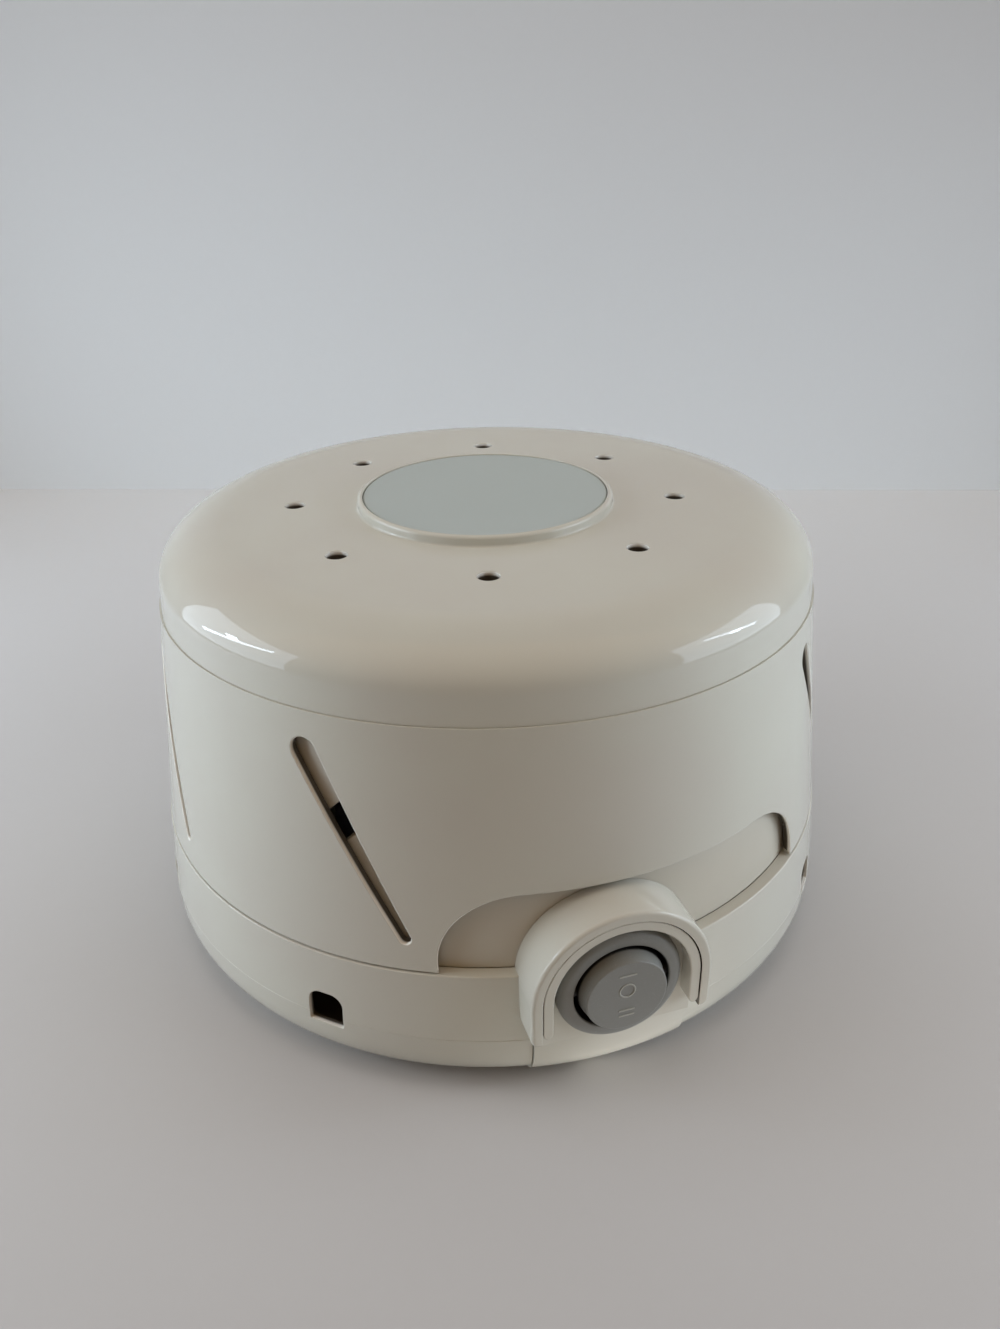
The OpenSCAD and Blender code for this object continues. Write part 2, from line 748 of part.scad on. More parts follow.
module cap_screw() {
    color(steel_colour) at_axis() translate([0, 0, washer_z[0]]) screw(3.2, 2.1, 7.5);
}

// ---- motor mounting ----

module motor_cradle() {
    thick = cradle_z[1] - cradle_z[0];
    color(steel_colour) at_axis() translate([0, 0, cradle_z[0]]) difference() {
        translate([0, cradle_middle_y, 0]) linear_extrude(thick) soft_square(cradle_size, 6);
        for (p = post_points)
            translate([p[0], p[1], -1]) cylinder(h = thick + 2, r = isolator_neck_r);
        for (x = [-bolt_x, bolt_x])
            translate([x, 0, -1]) cylinder(h = thick + 2, r = bolt_hole_r);
        translate([0, -14, -1]) linear_extrude(thick + 2) soft_square([36, 6], 2.9);
        translate([0, 21, -1]) linear_extrude(thick + 2) soft_square([36, 14], 4);
    }
}

module rubber_isolators() {
    edge = 0.3;
    color(rubber_colour) at_axis() for (p = post_points)
        translate([p[0], p[1], 0]) rotate_extrude() polygon([[2, post_top_z], [isolator_r - edge, post_top_z],
            [isolator_r, post_top_z + edge], [isolator_r, cradle_z[0]], [isolator_neck_r, cradle_z[0]],
            [isolator_neck_r, cradle_z[1]], [isolator_r, cradle_z[1]], [isolator_r, isolator_top_z - edge],
            [isolator_r - edge, isolator_top_z], [2, isolator_top_z]]);
}

module cradle_screws() {
    color(steel_colour) at_axis() for (p = post_points)
        translate([p[0], p[1], isolator_top_z]) mirror([0, 0, 1]) screw(4, 2.2, 8.2);
}

module bracket_legs(z0, z1) {
    for (side = [-1, 1])
        translate([side * bolt_x, 0, z0]) linear_extrude(z1 - z0)
            soft_square([bracket_leg_w, bracket_depth], 2);
}

module bracket_bolt_holes() {
    for (x = [-bolt_x, bolt_x])
        translate([x, 0, 0]) cylinder(h = far, r = bolt_hole_r);
}

module lower_bracket() {
    bottom_z = cradle_z[1];
    color(steel_colour) at_axis() difference() {
        union() {
            bracket_legs(bottom_z, stack_z);
            translate([0, 0, bottom_z]) linear_extrude(lower_bearing_z[0] - bottom_z)
                square([2 * bolt_x, bracket_depth], center = true);
            translate([0, 0, bottom_z]) cylinder(h = lower_bearing_z[1] - bottom_z, r = bearing_boss_r);
        }
        translate([0, 0, lower_bearing_z[0]]) cylinder(h = far, r = bearing_r);
        bracket_bolt_holes();
    }
}

module upper_bracket() {
    bottom_z = upper_bearing_z[0] - bracket_wall;
    color(steel_colour) at_axis() difference() {
        union() {
            bracket_legs(stack_top_z, bracket_top_z);
            translate([0, 0, bottom_z]) linear_extrude(bracket_bar_h)
                square([2 * bolt_x, bracket_depth], center = true);
            translate([0, 0, bottom_z]) cylinder(h = upper_bearing_z[1] - bottom_z, r = bearing_boss_r);
        }
        translate([0, 0, upper_bearing_z[0]]) cylinder(h = far, r = bearing_r);
        cylinder(h = far, r = thrust_r + 0.4);
        bracket_bolt_holes();
    }
}

module lower_bearing() {
    color(bronze_colour) at_axis() tube(lower_bearing_z[0], lower_bearing_z[1], bearing_r, bore_r);
}

module upper_bearing() {
    color(bronze_colour) at_axis() tube(upper_bearing_z[0], upper_bearing_z[1], bearing_r, bore_r);
}

// ---- motor ----

module bar_block(x, y, z0, z1) {
    block([x - bar_half, y - bar_half, z0], [x + bar_half, y + bar_half, z1]);
}

module lamination_stack() {
    coil_window = coil_half + 1.5;
    color([0.45, 0.46, 0.48]) at_axis() difference() {
        translate([0, (stack_y[0] + stack_y[1]) / 2, stack_z]) linear_extrude(stack_h)
            soft_square([2 * stack_half_w, stack_y[1] - stack_y[0]], 4);
        cylinder(h = far, r = rotor_r + air_gap);
        block([-coil_window, leg_y[0] - 13, 0], [coil_window, leg_y[0], far]);
        bracket_bolt_holes();
        for (x = bar_xs, y = [-bar_y, bar_y], side = [-1, 1])
            bar_block(side * x, y, 0, far);
    }
}

module shading_rings() {
    color(copper_colour) at_axis() for (side = [-1, 1], y = [-bar_y, bar_y]) {
        for (x = bar_xs)
            bar_block(side * x, y, stack_z, stack_top_z);
        for (z = [stack_z - ring_h, stack_top_z])
            translate([side * (bar_xs[0] + bar_xs[1]) / 2, y, z + ring_h / 2])
                cube([bar_xs[1] - bar_xs[0] + 2 * bar_half, 2 * bar_half, ring_h], center = true);
    }
}

// Outline across the coil's core, drawn about the middle of the core
module core_outline(grow, corner) {
    soft_square([leg_y[1] - leg_y[0] + 2 * grow, stack_h + 2 * grow], corner);
}

// Something with one outline along the coil, from -half to +half
module along_coil(half) {
    translate([-half, (leg_y[0] + leg_y[1]) / 2, stack_z + stack_h / 2])
        rotate([90, 0, 90]) linear_extrude(2 * half) children();
}

module coil_bobbin() {
    color([0.92, 0.92, 0.88]) at_axis() difference() {
        union() {
            along_coil(coil_half + bobbin_cheek) core_outline(bobbin_wall, 0.8);
            for (side = [-1, 1])
                translate([side * (coil_half + bobbin_cheek / 2), 0, 0])
                    along_coil(bobbin_cheek / 2) core_outline(winding_h + 2.5, 3);
        }
        along_coil(stack_half_w) square([leg_y[1] - leg_y[0], stack_h], center = true);
    }
}

module coil_winding() {
    color(copper_colour) at_axis() difference() {
        along_coil(coil_half) core_outline(winding_h, winding_corner_r);
        along_coil(stack_half_w) core_outline(bobbin_wall, 0.8);
    }
}

module coil_tape() {
    thick = 0.4;
    color([0.85, 0.75, 0.3]) at_axis() difference() {
        along_coil(tape_half) core_outline(winding_h + thick, winding_corner_r + thick);
        along_coil(stack_half_w) core_outline(winding_h, winding_corner_r);
    }
}

module thermal_fuse() {
    fuse_r = 2;
    fuse_y = leg_y[1] + winding_h + 0.4 + fuse_r;
    color([0.85, 0.85, 0.82]) at_axis() translate([0, fuse_y, stack_z + stack_h / 2])
        rotate([0, 90, 0]) {
            cylinder(h = 12, r = fuse_r, center = true);
            cylinder(h = 18, r = 0.6, center = true);
        }
}

module motor_bolts() {
    color(steel_colour) at_axis() for (x = [-bolt_x, bolt_x])
        translate([x, 0, cradle_z[0]]) screw(3.2, 2, 40, bolt_r);
}

module motor_nuts() {
    color(steel_colour) at_axis() for (x = [-bolt_x, bolt_x])
        translate([x, 0, bracket_top_z]) difference() {
            cylinder(h = 2.6, r = 3.2, $fn = 6);
            translate([0, 0, -1]) cylinder(h = 5, r = bolt_r);
        }
}

// ---- wiring ----

module terminal_block() {
    gap_x = (clamp_points[0][0] + clamp_points[1][0]) / 2;
    color([0.93, 0.93, 0.9]) at_axis() difference() {
        block(block_low, block_high);
        for (p = clamp_points)
            translate([p[0], p[1], clamp_z]) cylinder(h = far, r = clamp_r);
        block([gap_x - 0.5, block_low[1] - 1, clamp_z + 2.5], [gap_x + 0.5, block_high[1] + 1, far]);
    }
}

module terminal_screws() {
    color(bronze_colour) at_axis() for (p = clamp_points)
        translate([p[0], p[1], clamp_z + 3.4]) mirror([0, 0, 1]) screw(clamp_r - 0.3, 1.2, 3.4, 1.2);
}

module lead_supply() {
    color([0.1, 0.1, 0.1]) at_axis() wire(supply_route);
}

module lead_return() {
    color([0.9, 0.9, 0.9]) at_axis() wire(return_route);
}

module lead_fast() {
    color([0.8, 0.15, 0.1]) at_axis() wire(fast_route);
}

module lead_slow() {
    color([0.15, 0.25, 0.7]) at_axis() wire(slow_route);
}

// ---- what spins ----

module rotor() {
    color([0.6, 0.61, 0.63]) at_axis() tube(stack_z - 0.4, stack_top_z + 0.4, rotor_r, shaft_r);
}

module motor_shaft() {
    color(steel_colour) at_axis() translate([0, 0, shaft_z[0]])
        cylinder(h = shaft_z[1] - shaft_z[0], r = shaft_r);
}

module thrust_washers() {
    color(bronze_colour) at_axis() {
        tube(lower_bearing_z[1] + 0.2, lower_bearing_z[1] + 1, thrust_r, shaft_r);
        tube(upper_bearing_z[0] - 1, upper_bearing_z[0] - 0.2, thrust_r, shaft_r);
    }
}

module fan_wheel() {
    web_z = fan_bottom_z + 1;
    web_h = 1.6;
    blade_root = [18, 4];
    blade_lean = -18;
    blade_thick = 1.4;
    color([0.95, 0.95, 0.93]) at_axis() difference() {
        union() {
            translate([0, 0, fan_bottom_z]) cylinder(h = blade_h, r = hub_r);
            translate([0, 0, web_z]) cylinder(h = web_h, r = fan_r);
            for (a = blade_azimuths)
                rotate([0, 0, a]) translate([blade_root[0], blade_root[1], web_z + web_h - eps])
                    rotate([0, 0, blade_lean]) translate([0, -blade_thick / 2, 0])
                        cube([fan_r - blade_root[0] - 2, blade_thick, blade_h + eps]);
        }
        cylinder(h = far, r = shaft_r);
    }
}

module fan_clip() {
    top_z = fan_bottom_z + blade_h;
    color(steel_colour) at_axis() tube(top_z, top_z + 1.2, thrust_r + 0.1, shaft_r);
}

base_shell();
bottom_plate();
rubber_feet();
bottom_screws();
switch_panel();
switch_housing();
switch_terminals();
crimp_sleeves();
sound_housing();
drum_screws();
cord_gland();
terminal_block();
terminal_screws();
motor_cradle();
rubber_isolators();
cradle_screws();
lower_bracket();
upper_bracket();
lower_bearing();
upper_bearing();
lamination_stack();
shading_rings();
coil_bobbin();
coil_winding();
coil_tape();
motor_bolts();
motor_nuts();
thermal_fuse();
lead_supply();
lead_return();
lead_fast();
lead_slow();
rotor();
motor_shaft();
thrust_washers();
fan_wheel();
fan_clip();
tone_collar();
tone_cap();
cap_disc();
cap_washer();
cap_screw();
rocker();
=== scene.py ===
import math
import json

import bmesh
import bpy
from mathutils import Matrix, Vector


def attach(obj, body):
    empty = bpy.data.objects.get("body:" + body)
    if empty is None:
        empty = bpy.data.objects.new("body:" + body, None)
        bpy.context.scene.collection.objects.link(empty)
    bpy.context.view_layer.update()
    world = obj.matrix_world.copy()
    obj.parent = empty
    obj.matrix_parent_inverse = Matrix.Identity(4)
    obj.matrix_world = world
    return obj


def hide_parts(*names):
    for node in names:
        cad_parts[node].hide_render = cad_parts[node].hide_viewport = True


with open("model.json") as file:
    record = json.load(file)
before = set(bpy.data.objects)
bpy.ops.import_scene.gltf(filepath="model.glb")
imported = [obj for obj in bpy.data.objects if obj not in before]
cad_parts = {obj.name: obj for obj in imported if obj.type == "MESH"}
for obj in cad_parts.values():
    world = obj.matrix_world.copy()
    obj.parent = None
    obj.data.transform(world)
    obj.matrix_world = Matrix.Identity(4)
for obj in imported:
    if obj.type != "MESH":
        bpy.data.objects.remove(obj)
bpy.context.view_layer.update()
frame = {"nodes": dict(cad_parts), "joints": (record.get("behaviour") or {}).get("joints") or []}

nodes = frame["nodes"]

# A fan sound machine: its outer shells and switch are modelled here, its inner parts are carried over
# and get their finishes, and a plain table, lamps and a camera complete the scene.

# ---- driving dimensions, in millimetres about the turning axis ----

MM = 0.001
AXIS_Y = next(j["pos_m"][1] for j in frame["joints"] if j["name"] == "collar_turn")

# Fineness: sides of a full turn, length of a divided stretch, distance at which points merge, and
# the angle in degrees past which an edge stays sharp
SIDES, FINE, WELD, CREASE = 288, 2.0, 1e-4, 30.0
# Cutters: play between parts that nearly touch, two heights under the object, a distance outside it
PLAY, UNDER, FAR_UNDER, OUTSIDE = 0.1, -5, -10, 100
# Rims: how far a rounding sweeps, in degrees, how far its cutter rises clear of the surface, and the
# limit on a sharp corner's mitre
RIM_SWEEP, RIM_CLEAR, MITRE_LIMIT = 80, 3.0, 0.3

# Base: walls, lower round, parting line, seat of the bottom plate, lip and vents
BASE_R, BASE_TOP_R, BASE_TOP_Z, UNDERSIDE_Z = 72.9, 71.7, 27.0, 1.5
BASE_ROUND, BASE_WALL, BASE_INNER_R, PARTING_Z, PARTING_DEPTH = 8.0, 2.4, 70.3, 13.0, 0.07
PLATE_SEAT_R, LIP_R, LIP_Z = 63.8, 58.0, (3.9, 5.9)
VENT_W, VENT_H, VENT_Z, VENT_CORNER, VENT_FOOT, VENT_RIM = 7.0, 7.0, 11.0, 2.5, 0.3, 0.2
VENT_DEPTH, VENT_WALL, VENT_MARGIN = 6.0, 1.3, 1.5
VENT_AZIMUTHS = (-132, -87, -42, 48, 93, 138)

# Switch: the base's arched hood, the panel with its apron, the grey body, the rocker and its marks,
# a ring and bars (height, length)
SWITCH_Z = 25.1
HOOD_R, HOOD_WALL, HOOD_ROOT, HOOD_FRONT, HOOD_FOOT_Z = 16.8, 2.0, 60.0, 76.9, 16.6
HOOD_EDGE, HOOD_CORNER, HOOD_RIM, HOOD_OPENING_BACK = 0.7, 1.6, 0.15, 1.4
PANEL_R, PANEL_RING, PANEL_BACK, PANEL_FACE, PANEL_FRONT = 14.6, 12.7, 71.0, 73.4, 76.7
PANEL_EDGE, PANEL_CORNER, PANEL_RIM, PANEL_FOOT_Z, FOOT_ROUND = 0.2, 1.4, 0.3, 17.6, 1.5
APRON_PROUD, APRON_TOP_Z, APRON_BACK, APRON_SWEEP = 0.4, 14.0, 1.6, 88
BARREL_R, BARREL_BACK, FLANGE_R, FLANGE_FRONT = 10.0, 55.4, 11.6, 76.0
ROCKER_HOLE, POCKET_BACK, ROCKER_PIVOT, ROCKER_BALL = 8.9, 64.0, 73.8, 8.1
BALL_SWEEP, PIN_R, PIN_LENGTH = (-40, 15), 1.2, 19.4
ROCKER_FACE_R, ROCKER_FACE, ROCKER_DISH = 7.4, 78.18, 0.08
MARK_SUNK, MARK_PROUD, MARK_STROKE, MARK_RING_R, MARK_RING_Z = 0.2, 0.07, 0.3, 1.55, 1.2
MARK_BARS = ((4.6, 3.2), (-3.2, 2.9), (-4.4, 2.9))

# Cord gland in the rear wall
GLAND_Z, GLAND_BORE, GLAND_HOLE, GLAND_CUT, GLAND_FLANGE = 12.0, 3.2, 5.0, 20, 5.9
GLAND_FRONT, GLAND_INNER, GLAND_BACK, GLAND_PLAY = 67.6, 68.9, 73.9, 0.05

# Collar: radius and height of its lower and upper edge, its lip, its slots, each end (x, z, radius),
# and its cut-out
COLLAR_BOTTOM, COLLAR_TOP, COLLAR_WALL = (71.5, 27.35), (66.6, 73.9), 1.8
COLLAR_LIP_R, COLLAR_LIP_Z = 62.9, 72.0
PLACES, SLOT_AZIMUTH, SLOT_TOP, SLOT_BOTTOM = 8, -36.5, (-8.65, 66.5, 2.4), (9.0, 33.7, 1.0)
CUTOUT_AZIMUTH, CUTOUT_HALF, CUTOUT_TOP, CUTOUT_FOOT, CUTOUT_CORNER = 7.0, 37.2, 43.0, 20, 14.0
SLOT_RIM, CUTOUT_RIM, WALL_CUT = 0.35, 0.5, 5.0

# Drum: its gap to the collar, spigot in the base, shoulder, neck, deck, windows and switch notch
DRUM_GAP, DRUM_WALL, SPIGOT_R, SPIGOT_Z, DRUM_SEAT_Z = 0.4, 2.0, 69.0, 19.0, 27.1
SHOULDER_Z, NECK_R, DECK_Z = 71.6, 62.4, (83.2, 85.2)
WINDOW_AZIMUTH, WINDOW_Z, WINDOW_HALF, WINDOW_R, WINDOW_RIM = -39.35, 52.8, 11.3, (3.0, 2.9), 0.3
NOTCH_R, NOTCH_FOOT_Z, NOTCH_REACH = 12, 15, (55, 80)

# Cap: skirt, rounded edge, crown, ring, disc, air holes and pivot, and the slots in the drum's deck:
# air slots under the holes, and a stop slot (inner and outer radius, half its angle)
CAP_BOTTOM_Z, CAP_SKIRT_R, CAP_SIDE_R, CAP_TOP_Z, CAP_UNDER_Z = 73.96, 66.3, 65.9, 87.8, 85.7
EDGE_CENTRE, CAP_WALL, CROWN_RISE = (52.3, 78.8), 2.0, 0.2
RING_R, RING_TOP_Z, DISC_R, DISC_GAP, DISC_SEAT_Z, DISC_TOP_Z = 25.9, 90.1, 24.7, 0.15, 88.3, 89.9
HOLES, HOLE_R, HOLE_CIRCLE, HOLE_AZIMUTH, HOLE_DEPTH, HOLE_RIM = 8, 2.0, 38.8, -16.1, 8.0, 0.3
PIVOT_R, PIVOT_Z, PIVOT_PLAY, PIVOT_FLOOR, BOSS_R = 6.0, 79.0, 0.05, 0.2, 10
AIR_SLOT_HALF_W, AIR_SLOT_HALF, STOP_SLOT = 2.5, 5.0, (26.0, 30.2, 27)


# ---- outlines ----

def soften(corners, step=9.0, closed=True):
    """Outline through corners (x, y, radius), each rounded by an arc that meets both of its sides."""
    points = []
    for i, (x, y, radius) in enumerate(corners):
        here = Vector((x, y))
        if radius <= 0 or (not closed and i in (0, len(corners) - 1)):
            points.append((x, y))
            continue
        back = (Vector(corners[i - 1][:2]) - here).normalized()
        on = (Vector(corners[(i + 1) % len(corners)][:2]) - here).normalized()
        half = back.angle(on) / 2
        centre = here + (back + on).normalized() * radius / math.sin(half)
        reach = radius / math.tan(half)
        start, end = here + back * reach - centre, here + on * reach - centre
        first = math.atan2(start.y, start.x)
        turn = (math.atan2(end.y, end.x) - first + math.pi) % (2 * math.pi) - math.pi
        count = max(2, math.ceil(abs(turn) / math.radians(step)))
        for k in range(count + 1):
            a = first + turn * k / count
            points.append((centre.x + radius * math.cos(a), centre.y + radius * math.sin(a)))
    return points


def arc(centre, rx, ry, start, end, count):
    """Points on an ellipse from one angle to another, in degrees."""
    angles = [math.radians(start + (end - start) * k / count) for k in range(count + 1)]
    return [(centre[0] + rx * math.cos(a), centre[1] + ry * math.sin(a)) for a in angles]


def divided(points, closed=True):
    """The same outline with its long straight stretches divided."""
    out = []
    for i, here in enumerate(points):
        out.append(here)
        if i + 1 == len(points) and not closed:
            break
        there = points[(i + 1) % len(points)]
        count = math.ceil(math.dist(here, there) / FINE)
        out += [(here[0] + (there[0] - here[0]) * k / count, here[1] + (there[1] - here[1]) * k / count)
                for k in range(1, count)]
    return out


def teardrop(top, bottom, count=14):
    """Slot outline between two round ends (x, y, radius)."""
    (x0, y0, r0), (x1, y1, r1) = top, bottom
    turn = math.degrees(math.atan2(y1 - y0, x1 - x0))
    lean = math.degrees(math.acos((r0 - r1) / math.dist((x0, y0), (x1, y1))))
    ends = arc((x0, y0), r0, r0, turn + lean, turn + 360 - lean, count)
    return divided(ends + arc((x1, y1), r1, r1, turn - lean, turn + lean, count))


def arch(radius, bottom_z, corner=0.0, count=48):
    """Arch outline: half a circle on two straight sides down to bottom_z, with rounded lower corners."""
    top = arc((0, SWITCH_Z), radius, radius, 0, 180, count)
    feet = soften([(-radius, SWITCH_Z, 0), (-radius, bottom_z, corner), (radius, bottom_z, corner),
                   (radius, SWITCH_Z, 0)], closed=False)
    return top + feet[1:-1]


def sector(r0, r1, half_angle, count=8):
    """Outline of a curved slot about the origin, in the direction of the front."""
    outer = arc((0, 0), r1, r1, -90 - half_angle, -90 + half_angle, count)
    return outer + arc((0, 0), r0, r0, -90 + half_angle, -90 - half_angle, count)


def grown(outline, amount):
    """The same closed outline, each point moved outwards along the outline's normal there."""
    area = sum(x0 * y1 - x1 * y0 for (x0, y0), (x1, y1) in zip(outline, outline[1:] + outline[:1]))
    side = amount * math.copysign(1.0, area)
    out = []
    for i, (x, y) in enumerate(outline):
        before = (Vector((x, y)) - Vector(outline[i - 1])).normalized()
        after = (Vector(outline[(i + 1) % len(outline)]) - Vector((x, y))).normalized()
        along = before + after
        reach = side / max(MITRE_LIMIT, along.length / 2) / along.length
        out.append((x + along.y * reach, y - along.x * reach))
    return out


def collar_r(z):
    """Outer radius of the collar at a height."""
    share = (z - COLLAR_BOTTOM[1]) / (COLLAR_TOP[1] - COLLAR_BOTTOM[1])
    return COLLAR_BOTTOM[0] + (COLLAR_TOP[0] - COLLAR_BOTTOM[0]) * share


def drum_r(z):
    """Outer radius of the drum at a height."""
    return collar_r(z) - COLLAR_WALL - DRUM_GAP


def base_r(z):
    """Outer radius of the base above its rounded edge."""
    return BASE_R - (BASE_R - BASE_TOP_R) * max(0.0, z - PARTING_Z) / (BASE_TOP_Z - PARTING_Z)


# ---- solids ----

def lathe(outline, sides=SIDES, closed=True):
    """Solid or shell of revolution about Z from an outline of (radius, height)."""
    bm = bmesh.new()
    verts = [bm.verts.new((r, 0, z)) for r, z in outline]
    edges = [bm.edges.new(pair) for pair in zip(verts, verts[1:])]
    if closed:
        edges.append(bm.edges.new((verts[-1], verts[0])))
    bmesh.ops.spin(bm, geom=verts + edges, cent=(0, 0, 0), axis=(0, 0, 1), angle=math.tau,
                   steps=sides, use_merge=True)
    bmesh.ops.remove_doubles(bm, verts=bm.verts, dist=WELD)
    bmesh.ops.recalc_face_normals(bm, faces=bm.faces)
    return bm


def stack_loops(loops):
    """Closed solid through loops of points with equal counts, capped at both ends."""
    bm = bmesh.new()
    rings = []
    for loop in loops:
        verts = [bm.verts.new(p) for p in loop]
        rings.append([bm.edges.new((verts[i - 1], verts[i])) for i in range(len(verts))])
    for low, high in zip(rings, rings[1:]):
        bmesh.ops.bridge_loops(bm, edges=low + high)
    for end in (rings[0], rings[-1]):
        bmesh.ops.edgeloop_fill(bm, edges=end)
    bmesh.ops.triangulate(bm, faces=bm.faces)
    bmesh.ops.recalc_face_normals(bm, faces=bm.faces)
    return bm


def rim(size, count=5):
    """Levels (height, growth) of a cutter at the rim that it rounds: out along most of a quarter
    circle that ends at the surface, height 0, and on past it."""
    angles = [math.radians(RIM_SWEEP * k / count) for k in range(count + 1)]
    levels = [(size * (math.sin(a) - 1), size * (1 - math.cos(a))) for a in angles]
    return levels + [(RIM_CLEAR, levels[-1][1])]


def flare(depth, size):
    """The same levels, and before them the bottom of the cut."""
    return [(-depth, 0.0)] + rim(size)


def eased(front, size, count=5):
    """Levels (distance, growth) of a solid's front edge, rounded with a quarter circle."""
    return [(front - size + y, x - size) for x, y in arc((0, 0), size, size, 0, 90, count)]


def pressed(outline, wall_r, levels):
    """Cutter for a curved wall: an outline (x across, z up), pressed from the front onto the wall."""
    return stack_loops([[(x, -math.sqrt((wall_r(z) + depth) ** 2 - x * x), z)
                         for x, z in grown(outline, grow)] for depth, grow in levels])


def pushed(outline, levels):
    """Solid with an outline (x across, z up) along the front direction; levels are (distance, growth)."""
    return stack_loops([[(x, -distance, z) for x, z in grown(outline, grow)] for distance, grow in levels])


def raised(outline, levels):
    """Solid with an outline (x, y) along the turning axis; levels are (height, growth)."""
    return stack_loops([[(x, y, z) for x, y in grown(outline, grow)] for z, grow in levels])


def turned(bm, azimuth):
    """Turns a mesh about the turning axis."""
    turn = Matrix.Rotation(math.radians(azimuth), 3, "Z")
    bmesh.ops.rotate(bm, verts=bm.verts, cent=(0, 0, 0), matrix=turn)
    return bm


def facing_front(bm, distance=0.0):
    """Turns a mesh made about Z so that +Z points to the front, about the switch's axis."""
    turn = Matrix.Rotation(math.radians(90), 4, "X")
    bm.transform(Matrix.Translation((0, -distance, SWITCH_Z)) @ turn)
    return bm


def rod(radius, length, middle, axis, sides):
    """Round bar about a place, laid down from upright by a quarter turn about an axis."""
    bm = bmesh.new()
    laid = Matrix.Translation(middle) @ Matrix.Rotation(math.radians(90), 4, axis)
    bmesh.ops.create_cone(bm, cap_ends=True, segments=sides, radius1=radius, radius2=radius,
                          depth=length, matrix=laid)
    return bm


def thing(name, *solids):
    """Object made of one or more meshes, still in millimetres about the turning axis."""
    mesh = bpy.data.meshes.new(name)
    joined = bmesh.new()
    for bm in solids:
        part = bpy.data.meshes.new("part")
        bm.to_mesh(part)
        bm.free()
        joined.from_mesh(part)
        bpy.data.meshes.remove(part)
    joined.to_mesh(mesh)
    joined.free()
    piece = bpy.data.objects.new(name, mesh)
    bpy.context.scene.collection.objects.link(piece)
    return piece


def melted(piece):
    """Takes an object out of the scene and gives its mesh back as a solid."""
    bm = bmesh.new()
    bm.from_mesh(piece.data)
    bpy.data.objects.remove(piece)
    return bm


def carve(piece, operation, *solids):
    """Cuts solids from a piece, or joins them to it."""
    tool = thing("tool", *solids)
    change = piece.modifiers.new("carve", "BOOLEAN")
    change.operation = operation
    change.solver = "EXACT"
    change.object = tool
    bpy.context.view_layer.update()
    mesh = bpy.data.meshes.new_from_object(piece.evaluated_get(bpy.context.evaluated_depsgraph_get()))
    piece.modifiers.clear()
    piece.data = mesh
    bpy.data.objects.remove(tool)


def finished(piece, body, slot, material, *replaced):
    """Puts a piece in the frame, shades it smooth, gives it its material and body, and hides the parts it
    replaces.
    """
    bm = bmesh.new()
    bm.from_mesh(piece.data)
    bmesh.ops.remove_doubles(bm, verts=bm.verts, dist=WELD)
    bmesh.ops.dissolve_degenerate(bm, edges=bm.edges, dist=WELD)
    bm.transform(Matrix.Translation((0, AXIS_Y, 0)) @ Matrix.Scale(MM, 4))
    bm.to_mesh(piece.data)
    bm.free()
    piece.data.materials.clear()
    piece.data.materials.append(material)
    piece.data.shade_smooth()
    piece.data.set_sharp_from_angle(angle=math.radians(CREASE))
    even = piece.modifiers.new("even shading", "WEIGHTED_NORMAL")
    even.keep_sharp = True
    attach(piece, body)
    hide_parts(*replaced)


# ---- materials ----

class Wire:
    """A shader output that does arithmetic: an expression on wires adds the Math nodes it needs."""

    def __init__(self, finish, socket):
        self.finish = finish
        self.socket = socket

    def math(self, operation, *values):
        return self.finish.node("Math", dict(enumerate(values)), operation=operation)

    def __add__(self, other):
        return self.math("ADD", self, other)

    def __radd__(self, other):
        return self.math("ADD", other, self)

    def __sub__(self, other):
        return self.math("SUBTRACT", self, other)

    def __rsub__(self, other):
        return self.math("SUBTRACT", other, self)

    def __mul__(self, other):
        return self.math("MULTIPLY", self, other)

    def __truediv__(self, other):
        return self.math("DIVIDE", self, other)

    def __pow__(self, other):
        return self.math("POWER", self, other)

    def __gt__(self, other):
        return self.math("GREATER_THAN", self, other)

    def __lt__(self, other):
        return self.math("LESS_THAN", self, other)

    def __abs__(self):
        return self.math("ABSOLUTE", self)

    def at_least(self, other):
        return self.math("MAXIMUM", self, other)

    def pingpong(self, top):
        return self.math("PINGPONG", self, top)


